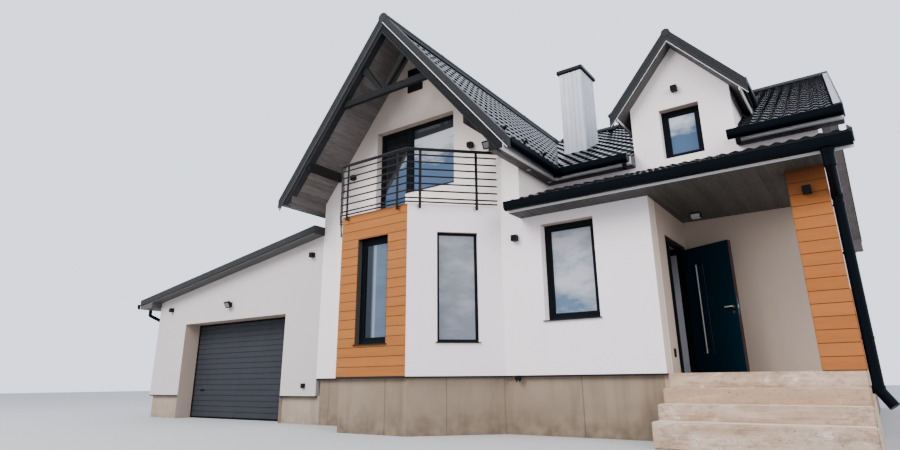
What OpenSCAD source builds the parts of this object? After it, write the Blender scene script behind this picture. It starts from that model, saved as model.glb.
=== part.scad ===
// Detached modern house with a gabled wing, a half-octagon bay with a balcony,
// a porch under a lean-to roof and a garage beside it.
// X runs along the front from left to right, Y runs into the house, Z is up.
// The plan is drawn from the front right corner of the bay and is then moved
// so that the origin lies under the middle of the whole house, at its base.

/* [Plan] */
// Left face of the garage from the bay corner
garage_left = 9300; // [7000:10:12000]
// Left face of the gabled wing from the bay corner
wing_left = 3200; // [2700:10:3600]
// Right face of the gabled wing
wing_right = 1500; // [1300:10:2200]
// Left face of the porch
porch_left = 3600; // [3200:10:4200]
// Right face of the house
house_right = 5810; // [5200:10:7000]
// Depth of the house
house_depth = 12100; // [11000:10:14000]
// Depth of the garage
garage_depth = 7000; // [5500:10:9000]
// Depth of the porch behind the front wall
porch_depth = 1935; // [1800:5:2600]
// Set-back of the upper front wall
upper_back = 1208; // [900:1:1500]
// Thickness of the outer walls
wall_t = 300; // [200:10:400]

/* [Bay] */
// Width of the front face of the bay
bay_front = 1495; // [1200:5:1900]
// How far the bay stands out
bay_out = 1122; // [900:2:1300]
// Thickness of the bay walls
bay_t = 250; // [150:10:300]
// Thickness of the timber boards on the bay and the pier
board_t = 25; // [15:1:40]

/* [Heights] */
// Top of the plinth and of the porch floor
plinth_h = 860; // [500:10:1200]
// Top of the garage plinth
garage_plinth_h = 530; // [300:10:700]
// Set-back of the plinth behind the wall face
plinth_in = 60; // [20:5:100]
// Top of the upper floor and of the balcony
floor_top = 3620; // [3450:10:4100]
// Underside of the porch ceiling
porch_soffit = 3352; // [3100:2:3700]
// Underside of the main eaves
eave_under = 4253; // [4100:1:4800]
// Top of the two main ridges
ridge_z = 7700; // [7000:10:9000]

/* [Roofs] */
// Rise of the gabled wing roof per unit of run
wing_pitch = 1.23; // [0.9:0.01:1.5]
// Rise of the long roof per unit of run
long_pitch = 0.544; // [0.4:0.002:0.7]
// Rise of the dormer roof per unit of run
dormer_pitch = 1.2; // [0.9:0.01:1.4]
// Rise of the lean-to roof per unit of run
lean_pitch = 0.39; // [0.25:0.01:0.5]
// Rise of the garage roof per unit of run
garage_pitch = 0.153; // [0.08:0.001:0.25]
// Overhang of the front gable
gable_over = 930; // [500:10:1200]
// Overhang of the eaves up to the fascia
eave_over = 240; // [150:5:500]
// Overhang of the verge on the right and at the rear
verge_over = 339; // [150:1:500]
// Ridge of the long roof behind the front wall
long_ridge = 6956; // [6000:2:8000]
// Front edge of the lean-to roof before the front wall
lean_over = 392; // [250:2:600]
// Top of the lean-to roof at the upper wall
lean_top = 4200; // [4000:5:4245]
// Height of the layer of metal tiles, measured upright
tile_v = 60; // [30:5:80]
// Height of the deck of the gabled wing, measured upright
wing_deck = 300; // [150:10:400]
// Height of the deck of the long roof, measured upright
long_deck = 190; // [120:10:300]
// Height of the dormer deck, measured upright
dormer_deck = 190; // [120:10:250]
// Height of the lean-to deck, measured upright
lean_deck = 90; // [60:5:120]
// Height of the garage roof deck, measured upright
garage_deck = 90; // [60:5:150]
// Soffit of the garage roof at the wall of the house
garage_soffit = 3762; // [3600:1:4100]
// Overhang of the garage roof at its low side
garage_eave = 550; // [300:10:800]
// Overhang of the garage roof at the front and the rear
garage_verge = 270; // [150:10:500]
// Width of a gutter
gutter_w = 150; // [70:5:180]
// Wall of a gutter
gutter_t = 6; // [3:1:10]
// Thickness of the fascia strips and the soffit boards
trim_t = 20; // [12:1:40]
// Diameter of the downpipes
pipe_d = 120; // [60:2:140]
// Diameter of the garage downpipe
garage_pipe = 85; // [60:5:110]
// Width of the gutters of the dormer
dormer_gutter = 110; // [80:5:140]

/* [Openings] */
// Left side of the garage door opening from the bay corner
gate_left = 8040; // [5000:10:11000]
// Width of the garage door opening
gate_w = 3780; // [2400:10:5000]
// Height of the garage door opening
gate_h = 2200; // [2000:10:2500]
// Set-back of the garage door
gate_in = 400; // [150:10:500]
// Width of the two bay windows
bay_win_w = 680; // [500:5:900]
// Sill height of the bay windows
bay_win_sill = 1370; // [1200:5:1600]
// Height of the bay windows
bay_win_h = 1780; // [1400:5:1900]
// Left side of the front bay window
bay_win_x = -1090; // [-1200:2:-900]
// Left side of the tall window on the slanting bay face
slant_win_s = 497; // [300:1:600]
// Left side of the room window
room_win_x = 1855; // [1700:5:2200]
// Width of the room window
room_win_w = 890; // [700:5:1100]
// Sill height of the room window
room_win_sill = 1663; // [1400:1:1800]
// Height of the room window
room_win_h = 1525; // [1200:5:1600]
// Left side of the balcony opening
balcony_x = -1755; // [-1900:5:-1400]
// Width of the balcony opening
balcony_w = 1925; // [1500:5:2100]
// Top of the balcony opening
balcony_top = 5720; // [5400:10:5900]
// Width of the balcony door with its frame
balcony_door_w = 770; // [650:10:900]
// Sill of the fixed balcony window
balcony_sill = 4285; // [4000:5:4500]
// Left side of the dormer
dormer_x = 3132; // [2900:2:3600]
// Width of the dormer
dormer_w = 1615; // [1300:5:1900]
// Overhang of the dormer roof at its eaves
dormer_eave = 160; // [100:10:250]
// Width of the flat strip along the verge of the long roof
verge_cap = 90; // [80:10:200]
// Ridge of the dormer
dormer_ridge = 6540; // [6300:10:6800]
// Left side of the dormer window
dormer_win_x = 3614; // [3500:2:3800]
// Width of the dormer window
dormer_win_w = 642; // [500:2:800]
// Sill of the dormer window
dormer_sill = 4292; // [4250:2:4500]
// Height of the dormer window
dormer_win_h = 886; // [700:2:1000]
// Front side of the entrance opening behind the front wall
entry_y = 700; // [600:10:800]
// Width of the entrance opening
entry_w = 1225; // [1150:5:1235]
// Height of the entrance opening above the porch floor
entry_h = 2050; // [1950:10:2150]
// Width of the windows on the plain sides
side_win_w = 900; // [700:10:1200]
// Height of the windows on the plain sides
side_win_h = 1450; // [1000:10:1500]
// Sill height of the lower windows on the plain sides
side_sill = 1663; // [1400:1:1900]
// Sill height of the upper windows on the plain sides
loft_sill = 4520; // [4300:10:4700]
// Height of the upper windows on the plain sides
loft_win_h = 1200; // [900:10:1200]
// Width of the window in the rear gable
loft_win_w = 1800; // [1200:10:2000]
// Set-back of the window frames
frame_in = 145; // [60:5:160]
// Width of a window frame profile
frame_w = 70; // [50:2:90]
// Width of the slim frame of the slanted bay window
slim_w = 38; // [30:2:70]
// Depth of a window frame profile
frame_d = 75; // [60:5:90]
// Thickness of the glass units
glass_t = 24; // [18:2:40]

/* [Entrance door] */
// Width of the door leaf
leaf_w = 880; // [700:5:900]
// Distance of the pull bar from the hinge side of the leaf
bar_in = 270; // [200:10:600]
// Height of the foot of the pull bar above the leaf's own foot
bar_low = 300; // [200:10:400]
// Thickness of the door leaf
leaf_t = 70; // [50:2:80]
// Clearance round the door leaf
leaf_gap = 6; // [5:1:10]
// Width of the door frame profile
jamb_w = 60; // [45:5:70]
// Height of the lever above the porch floor
lever_h = 965; // [850:5:1100]
// Angle at which the leaf stands open
leaf_open = 62; // [30:1:80]
// Length of the upright pull bar
pull_len = 1390; // [900:10:1600]

/* [Porch and steps] */
// Left face of the pier
pier_x = 5380; // [5200:10:5500]
// Depth of the pier
pier_d = 430; // [300:10:500]
// Front face of the pier behind the front wall
pier_y = 24; // [24:2:60]
// Number of risers in front of the porch
risers = 4; // [3:1:6]
// Height of a riser
riser = 186; // [150:1:200]
// Depth of a tread
tread = 305; // [260:5:340]

/* [Balcony railing] */
// Height of the handrail above the balcony floor
rail_h = 975; // [900:5:1100]
// Diameter of the handrail
handrail_d = 42; // [30:2:50]
// Diameter of the thin rails
rail_d = 20; // [10:1:26]
// Number of thin rails
rail_n = 7; // [5:1:9]
// Width of a railing post
post_w = 45; // [30:5:60]
// Thickness of a railing post
post_t = 12; // [8:1:20]

/* [Chimney] */
// Left face of the chimney
chimney_x = 950; // [900:10:1000]
// Front face of the chimney
chimney_y = 3300; // [3200:10:3600]
// Width of the chimney
chimney_w = 530; // [450:10:600]
// Depth of the chimney
chimney_d = 750; // [500:10:900]
// Top of the chimney body
chimney_top = 7740; // [7600:10:8000]

/* [Hidden] */
$fn = 24;
eps = 1;
seat = 0.02;
verge_t = 20;
gate_d = 50;
leaf_set = 9;
knuckle_r = 9;
floor_under = porch_soffit + trim_t;
far = 20000;
xg = -garage_left;
xl = -wing_left;
xw = wing_right;
xp = porch_left;
xr = house_right;
yb = house_depth;
yp = porch_depth;
yu = upper_back;
xm = (xl + xw) / 2;
half = (xw - xl) / 2;
ym = long_ridge;
xgate = -gate_left;
wing_th = tile_v + wing_deck;
long_th = tile_v + long_deck;
dormer_th = tile_v + dormer_deck;
uf = half + eave_over;
yf = yu - eave_over;
yr = yb + eave_over;
xv = xr + verge_over;
y_back = yb + verge_over;
bay_l = -bay_front - bay_out;
bay_r = bay_out;
dx = dormer_x + dormer_w / 2;
dh = dormer_w / 2;
du = dh + dormer_eave;
dy0 = yu - 200;
yd = ym - (ridge_z - (dz(dx + du) - dormer_th - 40)) / long_pitch;
dy1 = ym - (ridge_z - dormer_ridge) / long_pitch;
slant = bay_out * sqrt(2);
entry_y1 = entry_y + entry_w;
entry_z = plinth_h + entry_h;
x_low = xg - garage_eave;
gz0 = garage_soffit;
steps_y = pier_y - 4;
rail_out = 50;
gutter_up = 60;
lean_rim = porch_soffit + 145;
upper_rim = eave_under + 145;
gutter_deep = gutter_up + gutter_w / 2;
rail_knob = handrail_d * 0.6;
y_front = -bay_out - rail_out - rail_knob * (cos(22.5) + sin(22.5));
mid_x = (x_low - trim_t - gutter_w + xv + verge_t) / 2;
mid_y = (y_front + yr + trim_t + gutter_w) / 2;
gate_t = gate_in + gate_d + 10;
bay_end = bay_t * sqrt(2);

function gz(x) = ridge_z - wing_pitch * abs(x - xm);
function wz(y) = ridge_z - long_pitch * abs(y - ym);
function dz(x) = dormer_ridge - dormer_pitch * abs(x - dx);
function lz(y) = lean_top - lean_pitch * (yu - y);
function sz(x) = gz0 + garage_pitch * (x - xl);

// Moves the plan so that the origin lies under the middle of the house.
module place() {
    translate([-mid_x, -mid_y, 0]) children();
}

// A box between two corners.
module block(a, b) {
    translate(a) cube([b[0] - a[0], b[1] - a[1], b[2] - a[2]]);
}

// An upright X-Z profile drawn out along Y.
module along_y(pts, y0, y1) {
    translate([0, y1, 0]) rotate([90, 0, 0]) linear_extrude(y1 - y0) polygon(pts);
}

// An upright Y-Z profile drawn out along X.
module along_x(pts, x0, x1) {
    translate([x0, 0, 0]) rotate([90, 0, 90]) linear_extrude(x1 - x0) polygon(pts);
}

// A plan outline drawn up.
module up(pts, z0, z1) {
    translate([0, 0, z0]) linear_extrude(z1 - z0) polygon(pts);
}

// The slanting right face of the bay: children are drawn with X along the face,
// Y into the wall and the front edge of the face at the origin.
module on_slant() {
    translate([0, -bay_out, 0]) rotate([0, 0, 45]) children();
}

// The slanting left face of the bay, from the wall to the front edge.
module on_left_slant() {
    translate([bay_l, 0, 0]) rotate([0, 0, -45]) children();
}

// Outline of the bay set in by a distance.
function bay_line(t) = [
    [bay_l + t * sqrt(2), 0],
    [-bay_front + t * tan(22.5), -bay_out + t],
    [-t * tan(22.5), -bay_out + t],
    [bay_r - t * sqrt(2), 0]];

// Outline of the house at ground level, set in by a distance.
function house_line(t) = [
    [xl + t, t],
    [bay_l + t * tan(22.5), t],
    [-bay_front + t * tan(22.5), -bay_out + t],
    [-t * tan(22.5), -bay_out + t],
    [bay_r - t * tan(22.5), t],
    [xp - t, t],
    [xp - t, yp + t],
    [xr - t, yp + t],
    [xr - t, yb - t],
    [xl + t, yb - t]];

// Everything that lies under the top of the long roof.
module under_long(drop = 0) {
    along_x([[yf, 0], [yf, wz(yf) - drop], [ym, ridge_z - drop], [yr, wz(yr) - drop], [yr, 0]], xm, far);
}

// Everything that lies under the gabled wing roof.
module under_wing() {
    along_y([[xm - uf, 0], [xm - uf, eave_under], [xl, eave_under], [xl, gz(xl) - wing_th],
        [xm, ridge_z - wing_th], [xw, gz(xw) - wing_th], [xw, eave_under], [xm + uf, eave_under],
        [xm + uf, 0]], -far / 4, far);
}

// The room inside the dormer, and all the space over its walls.
module dormer_room(t = 0) {
    along_y([[dormer_x + t, eave_under - 600], [dormer_x + dormer_w - t, eave_under - 600],
        [dormer_x + dormer_w - t, dz(dormer_x + t) - dormer_th], [dx, dormer_ridge - dormer_th],
        [dormer_x + t, dz(dormer_x + t) - dormer_th]], yf - 200, ym - 800);
}

module plinth() {
    color([0.74, 0.70, 0.62]) place() difference() {
        up(house_line(plinth_in), 0, plinth_h);
        up(house_line(wall_t + plinth_in), -eps, plinth_h + eps);
    }
}

module garage_plinth() {
    color([0.74, 0.70, 0.62]) place() difference() {
        block([xg + plinth_in, plinth_in, 0], [xl + plinth_in, garage_depth - plinth_in, garage_plinth_h]);
        block([xg + wall_t, gate_t, -eps], [far, garage_depth - wall_t, far]);
        block([xgate, -eps, -eps], [xgate + gate_w, gate_t + eps, far]);
    }
}

// Floors of the house and of the garage.
module ground_floors() {
    color([0.6, 0.6, 0.58]) place() {
        up(house_line(wall_t + plinth_in), plinth_h - 150, plinth_h);
        block([xg + wall_t, gate_t, 0], [xl + plinth_in, garage_depth - wall_t, 100]);
    }
}

module upper_floor() {
    color([0.6, 0.6, 0.58]) place() difference() {
        block([xl + wall_t, wall_t, floor_under], [xr - wall_t, yb - wall_t, floor_top]);
        block([xw - wall_t, -eps, floor_under - eps], [far, yu + wall_t, floor_top + eps]);
    }
}

module porch_steps() {
    color([0.80, 0.76, 0.68]) place() union() {
        block([xp, steps_y, 0], [xr, yp, plinth_h]);
        block([xp - plinth_in, plinth_in, 0], [xr, yp + plinth_in, plinth_h]);
        for (k = [1 : risers - 1])
            block([xp, steps_y - k * tread, 0], [xr, steps_y - (k - 1) * tread, plinth_h - k * riser]);
    }
}

module bay_walls() {
    color([0.90, 0.89, 0.87]) place() difference() {
        up(bay_line(0), plinth_h, floor_top - 100);
        up(concat(bay_line(bay_t), [[bay_r - bay_t * sqrt(2), 1], [bay_l + bay_t * sqrt(2), 1]]), plinth_h - eps, far);
        block([-bay_front, -bay_out - eps, plinth_h - eps], [0, -bay_out + board_t, far]);
        block([bay_win_x, -bay_out - eps, bay_win_sill], [bay_win_x + bay_win_w, -bay_out + bay_t + eps, bay_win_sill + bay_win_h]);
        on_slant() block([slant_win_s, -eps, bay_win_sill], [slant_win_s + bay_win_w, bay_t + eps, bay_win_sill + bay_win_h]);
    }
}

// Boards on the front of the bay and on two sides of the pier.
module timber_cladding() {
    color([0.76, 0.52, 0.32]) place() {
        difference() {
            block([-bay_front, -bay_out, plinth_h], [0, -bay_out + board_t, floor_top]);
            block([bay_win_x, -bay_out - eps, bay_win_sill], [bay_win_x + bay_win_w, -bay_out + bay_t, bay_win_sill + bay_win_h]);
        }
        block([pier_x, pier_y, plinth_h], [xr, pier_y + board_t, porch_soffit]);
        block([pier_x, pier_y + board_t, plinth_h], [pier_x + board_t, pier_y + pier_d, porch_soffit]);
    }
}

module balcony_deck() {
    color([0.90, 0.89, 0.87]) place() difference() {
        up(bay_line(0), floor_top - 100, floor_top);
        block([-bay_front, -bay_out - eps, 0], [0, -bay_out + board_t, far]);
    }
}

module front_wall() {
    color([0.90, 0.89, 0.87]) place() difference() {
        union() {
            block([xl, 0, plinth_h], [bay_l + bay_end, wall_t, floor_under]);
            along_y([[xl, floor_under], [xw, floor_under], [xw, gz(xw) - wing_th],
                [xm, ridge_z - wing_th], [xl, gz(xl) - wing_th]], 0, wall_t);
        }
        block([balcony_x, -eps, floor_top], [balcony_x + balcony_door_w, wall_t + eps, balcony_top]);
        block([balcony_x + balcony_door_w - eps, -eps, balcony_sill], [balcony_x + balcony_w, wall_t + eps, balcony_top]);
    }
}

module room_wall() {
    color([0.90, 0.89, 0.87]) place() difference() {
        union() {
            block([bay_r - bay_end, 0, plinth_h], [xw, wall_t, floor_under]);
            along_x([[0, plinth_h], [wall_t, plinth_h], [wall_t, lz(wall_t) - tile_v - lean_deck],
                [0, lz(0) - tile_v - lean_deck]], xw, xp);
        }
        block([room_win_x, -eps, room_win_sill], [room_win_x + room_win_w, wall_t + eps, room_win_sill + room_win_h]);
    }
}

module left_wall() {
    color([0.90, 0.89, 0.87]) place()
        along_y([[xl, plinth_h], [xl + wall_t, plinth_h], [xl + wall_t, gz(xl + wall_t) - wing_th],
            [xl, gz(xl) - wing_th]], wall_t, yb - wall_t);
}

module right_wall() {
    color([0.90, 0.89, 0.87]) place() difference() {
        along_x([[yp + wall_t, plinth_h], [yb - wall_t, plinth_h], [yb - wall_t, wz(yb - wall_t) - long_th - seat],
            [ym, ridge_z - long_th - seat], [yu + wall_t, wz(yu + wall_t) - long_th - seat],
            [yu + wall_t, floor_under], [yp + wall_t, floor_under]], xr - wall_t, xr);
        for (y = [4200, 8600]) block([xr - wall_t - eps, y, side_sill], [xr + eps, y + side_win_w, side_sill + side_win_h]);
        for (y = [5100, 7600]) block([xr - wall_t - eps, y, loft_sill], [xr + eps, y + side_win_w, loft_sill + loft_win_h]);
    }
}

module rear_wall() {
    color([0.90, 0.89, 0.87]) place() difference() {
        union() {
            along_y([[xl, plinth_h], [xw, plinth_h], [xw, gz(xw) - wing_th],
                [xm, ridge_z - wing_th], [xl, gz(xl) - wing_th]], yb - wall_t, yb);
            along_x([[yb - wall_t, plinth_h], [yb, plinth_h], [yb, wz(yb) - long_th - seat],
                [yb - wall_t, wz(yb - wall_t) - long_th - seat]], xw, xr);
        }
        for (x = [-2300, 200, 3100]) block([x, yb - wall_t - eps, side_sill], [x + side_win_w, yb + eps, side_sill + side_win_h]);
        block([xm - loft_win_w / 2, yb - wall_t - eps, loft_sill], [xm + loft_win_w / 2, yb + eps, loft_sill + loft_win_h]);
    }
}

module upper_wall() {
    color([0.90, 0.89, 0.87]) place() difference() {
        union() {
            along_x([[yu, floor_under], [yu + wall_t, floor_under], [yu + wall_t, wz(yu + wall_t) - long_th - seat],
                [yu, wz(yu) - long_th - seat]], xw - wall_t, xr);
            along_y([[dormer_x, eave_under - 50], [dormer_x + dormer_w, eave_under - 50],
                [dormer_x + dormer_w, dz(dormer_x) - dormer_th], [dx, dormer_ridge - dormer_th],
                [dormer_x, dz(dormer_x) - dormer_th]], yu, yu + wall_t);
            along_y([[xw - wall_t, floor_under], [xw, floor_under], [xw, gz(xw) - wing_th],
                [xw - wall_t, gz(xw - wall_t) - wing_th]], wall_t, yu + eps);
            difference() {
                for (x = [dormer_x, dormer_x + dormer_w - 150])
                    block([x, yu + wall_t - eps, eave_under - 100], [x + 150, dy1, dz(dormer_x) - dormer_th]);
                under_long(long_th);
            }
        }
        block([dormer_win_x, yu - eps, dormer_sill], [dormer_win_x + dormer_win_w, yu + wall_t + eps, dormer_sill + dormer_win_h]);
        difference() {
            under_long(0);
            block([-far, -far, -eps], [far, yu + wall_t, far]);
        }
    }
}

module porch_wall_near() {
    color([0.90, 0.89, 0.87]) place()
        block([xp - wall_t, wall_t, plinth_h], [xp, entry_y, entry_z]);
}

module porch_wall_head() {
    color([0.90, 0.89, 0.87]) place()
        block([xp - wall_t, wall_t, entry_z], [xp, entry_y1, floor_under]);
}

module porch_back_wall() {
    color([0.84, 0.80, 0.73]) place() union() {
        block([xp - wall_t, entry_y1, plinth_h], [xp, yp + wall_t, floor_under]);
        block([xp, yp, plinth_h], [xr, yp + wall_t, porch_soffit]);
        block([xp, yp + eps, plinth_h], [xr, yp + wall_t, floor_under]);
    }
}

module pier() {
    color([0.90, 0.89, 0.87]) place() union() {
        block([pier_x + board_t, pier_y + board_t, plinth_h], [xr, pier_y + pier_d, porch_soffit]);
        along_x([[pier_y, floor_under], [yu, floor_under], [yu, lean_top - tile_v - lean_deck],
            [pier_y, lz(pier_y) - tile_v - lean_deck]], xr - wall_t, xr);
    }
}

module garage_walls() {
    color([0.90, 0.89, 0.87]) place() difference() {
        along_y([[xg, garage_plinth_h], [xl, garage_plinth_h], [xl, sz(xl)], [xg, sz(xg)]], 0, garage_depth);
        block([xg + wall_t, gate_t, 0], [far, garage_depth - wall_t, far]);
        block([xgate, -eps, 0], [xgate + gate_w, gate_t + eps, gate_h]);
    }
}

// Profile of one slope of the gabled wing deck with its eave box; s is 1 or -1.
function wing_deck_line(s) = [
    [xm, ridge_z - tile_v], [xm + s * uf, gz(xm + uf) - tile_v], [xm + s * uf, eave_under + trim_t],
    [xm + s * half, eave_under + trim_t], [xm + s * half, gz(xw) - wing_th], [xm, ridge_z - wing_th]];

module wing_roof_deck() {
    color([0.55, 0.53, 0.50]) place() difference() {
        union() {
            along_y(wing_deck_line(1), -gable_over, y_back);
            along_y(wing_deck_line(-1), -gable_over, y_back);
        }
        under_long(0);
    }
}

module wing_tiles() {
    color([0.20, 0.20, 0.22]) place() difference() {
        along_y([[xm, ridge_z], [xm + uf, gz(xm + uf)], [xm + uf, gz(xm + uf) - tile_v],
            [xm, ridge_z - tile_v], [xm - uf, gz(xm - uf) - tile_v], [xm - uf, gz(xm - uf)]],
            -gable_over, y_back);
        under_long(0);
    }
}

module long_roof_deck() {
    color([0.55, 0.53, 0.50]) place() difference() {
        along_x([[ym, ridge_z - tile_v], [yr, wz(yr) - tile_v], [yr, eave_under + trim_t + 60],
            [yb, eave_under + trim_t + 60], [yb, wz(yb) - long_th], [ym, ridge_z - long_th],
            [yu, wz(yu) - long_th], [yu, eave_under + trim_t], [yf, eave_under + trim_t],
            [yf, wz(yf) - tile_v]], xm, xv);
        under_wing();
        dormer_room(150);
        block([dormer_x, yf - eps, 0], [dormer_x + dormer_w, yu + wall_t, far]);
        block([chimney_x, chimney_y, 0], [chimney_x + chimney_w, chimney_y + chimney_d, far]);
    }
}

module long_tiles() {
    color([0.20, 0.20, 0.22]) place() difference() {
        along_x([[ym, ridge_z], [yr, wz(yr)], [yr, wz(yr) - tile_v], [ym, ridge_z - tile_v],
            [yf, wz(yf) - tile_v], [yf, wz(yf)]], xm, xv);
        under_wing();
        dormer_room(150);
        block([dormer_x, yf - eps, 0], [dormer_x + dormer_w, yu + wall_t, far]);
        block([chimney_x, chimney_y, 0], [chimney_x + chimney_w, chimney_y + chimney_d, far]);
    }
}

module lean_roof_deck() {
    color([0.55, 0.53, 0.50]) place()
        along_x([[-lean_over, lz(-lean_over) - tile_v], [yu, lean_top - tile_v],
            [yu, lean_top - tile_v - lean_deck], [-lean_over, lz(-lean_over) - tile_v - lean_deck]], xw, xv);
}

module lean_tiles() {
    color([0.20, 0.20, 0.22]) place()
        along_x([[-lean_over, lz(-lean_over)], [yu, lean_top],
            [yu, lean_top - tile_v], [-lean_over, lz(-lean_over) - tile_v]], xw, xv);
}

module dormer_roof_deck() {
    color([0.55, 0.53, 0.50]) place() difference() {
        along_y([[dx, dormer_ridge - tile_v], [dx + du, dz(dx + du) - tile_v], [dx + du, dz(dx + du) - dormer_th],
            [dx, dormer_ridge - dormer_th], [dx - du, dz(dx - du) - dormer_th], [dx - du, dz(dx - du) - tile_v]],
            dy0, dy1);
        under_long(0);
    }
}

module dormer_tiles() {
    color([0.20, 0.20, 0.22]) place() difference() {
        along_y([[dx, dormer_ridge], [dx + du, dz(dx + du)], [dx + du, dz(dx + du) - tile_v],
            [dx, dormer_ridge - tile_v], [dx - du, dz(dx - du) - tile_v], [dx - du, dz(dx - du)]],
            dy0, dy1);
        under_long(0);
    }
}

// Deck of the garage roof with the box under its eave.
module garage_roof_deck() {
    color([0.80, 0.80, 0.79]) place()
        along_y([[x_low, sz(x_low) - 60], [xg, sz(x_low) - 60], [xg, sz(xg)], [xl, sz(xl)], [xl, sz(xl) + garage_deck],
            [x_low, sz(x_low) + garage_deck]], -garage_verge, garage_depth + garage_verge);
}

module garage_tiles() {
    color([0.20, 0.20, 0.22]) place()
        along_y([[x_low, sz(x_low) + garage_deck], [xl, sz(xl) + garage_deck], [xl, sz(xl) + garage_deck + tile_v],
            [x_low, sz(x_low) + garage_deck + tile_v]], -garage_verge, garage_depth + garage_verge);
}

// Flashings on the verges and the caps on the ridges.
module roof_flashings() {
    cap_gap = 150 * wing_pitch / long_pitch + 5;
    dw = du + trim_t + dormer_gutter;
    color([0.36, 0.37, 0.38]) place() union() {
        for (s = [1, -1]) {
            along_y([[xm, ridge_z + 45], [xm + s * (uf + gutter_w), gz(xm + uf + gutter_w) + 45],
                [xm + s * (uf + gutter_w), gz(xm + uf + gutter_w) - tile_v - 60], [xm, ridge_z - tile_v - 60]],
                -gable_over - 25, -gable_over);
            along_y([[xm, ridge_z + 45], [xm + s * uf, gz(xm + uf) + 45], [xm + s * uf, gz(xm + uf)],
                [xm, ridge_z]], -gable_over - 25, -gable_over + 140);
            along_y([[dx, dormer_ridge + 30], [dx + s * dw, dz(dx + dw) + 30], [dx + s * dw, dz(dx + dw) - 120],
                [dx, dormer_ridge - 120]], dy0 - 20, dy0);
        }
        along_y([[xm - 150, gz(xm - 150)], [xm, ridge_z], [xm, ridge_z + 45], [xm - 150, gz(xm - 150) + 30]], -gable_over, y_back);
        for (y = [[-gable_over, ym - cap_gap], [ym + cap_gap, y_back]])
            along_y([[xm + 150, gz(xm + 150)], [xm + 150, gz(xm + 150) + 30], [xm, ridge_z + 45], [xm, ridge_z]], y[0], y[1]);
        difference() {
            along_x([[yf, wz(yf)], [ym, ridge_z], [yr, wz(yr)], [yr, wz(yr) + 25], [ym, ridge_z + 25], [yf, wz(yf) + 25]], xv - verge_cap, xv);
            block([0, -far, 0], [far, yf + 180, far]);
            block([0, ym - 152, 0], [far, ym + 152, far]);
        }
        along_x([[ym - 150, wz(ym - 150) + 0.1], [ym, ridge_z + 0.1], [ym + 150, wz(ym + 150) + 0.1], [ym + 150, wz(ym + 150) + 30],
            [ym, ridge_z + 45], [ym - 150, wz(ym - 150) + 30]], xm + 160, xv);
        along_x([[yf, wz(yf) + 35], [ym, ridge_z + 35], [yr, wz(yr) + 35], [yr, wz(yr) - 180], [ym, ridge_z - 180],
            [yf, wz(yf) - 180]], xv, xv + verge_t);
        along_x([[-lean_over, lz(-lean_over) + 30], [yu, lean_top + 30], [yu, lean_top - 150],
            [-lean_over, lz(-lean_over) - 150]], xv, xv + verge_t);
        along_y([[x_low, sz(x_low) + garage_deck + tile_v + 20], [xl, sz(xl) + garage_deck + tile_v + 20],
            [xl, sz(xl) + garage_deck - 60], [x_low, sz(x_low) + garage_deck - 60]], -garage_verge - 20, -garage_verge);
        block([xl, -garage_verge - 20, sz(xl) - 10], [xl + 18, -2, sz(xl) + garage_deck + tile_v + 20]);
    }
}

// Collar tie, struts, barge rafters and purlins under the front gable.
module gable_truss() {
    y0 = -gable_over;
    hw = xw - xm;
    color([0.20, 0.19, 0.18]) place() union() {
        along_y([[xm - (ridge_z - wing_th - 6130) / wing_pitch, 6130], [xm - (ridge_z - wing_th - 6000) / wing_pitch, 6000],
            [xm + (ridge_z - wing_th - 6000) / wing_pitch, 6000], [xm + (ridge_z - wing_th - 6130) / wing_pitch, 6130]],
            y0 + 30, y0 + 110);
        for (s = [1, -1]) {
            along_y([[xm, ridge_z - tile_v - 60], [xm + s * uf, gz(xm + uf) - tile_v - 60], [xm + s * uf, eave_under + 1],
                [xm + s * hw, eave_under + 1], [xm + s * hw, gz(xm + hw) - wing_th], [xm, ridge_z - wing_th]],
                y0 - 16, y0);
            along_y([[xm + s * 20, 6130], [xm + s * 120, 6130], [xm + s * 560, ridge_z - wing_th - wing_pitch * 560],
                [xm + s * 470, ridge_z - wing_th - wing_pitch * 470]], y0 + 30, y0 + 110);
            along_y([[xm + s * 1860, gz(xm + 1860) - wing_th], [xm + s * 1960, gz(xm + 1960) - wing_th],
                [xm + s * 1960, gz(xm + 1960) - wing_th - 60], [xm + s * 1860, gz(xm + 1960) - wing_th - 60]], y0, 0);
        }
    }
}

// Boards under the eaves and the ceiling of the porch.
module soffit_boards() {
    color([0.50, 0.48, 0.46]) place() union() {
        block([xw, -lean_over, porch_soffit], [xp, 0, porch_soffit + trim_t]);
        block([xp, -lean_over, porch_soffit], [xr, yp, porch_soffit + trim_t]);
        block([xw, -gable_over, eave_under], [xm + uf, yf, eave_under + trim_t]);
        block([xm - uf, -gable_over, eave_under], [xl, y_back, eave_under + trim_t]);
        block([xw, yf, eave_under], [dormer_x, yu, eave_under + trim_t]);
        block([dormer_x + dormer_w, yf, eave_under], [xv, yu, eave_under + trim_t]);
        block([xm + uf, yb, eave_under + 60], [xv, yr, eave_under + 60 + trim_t]);
    }
}

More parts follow.
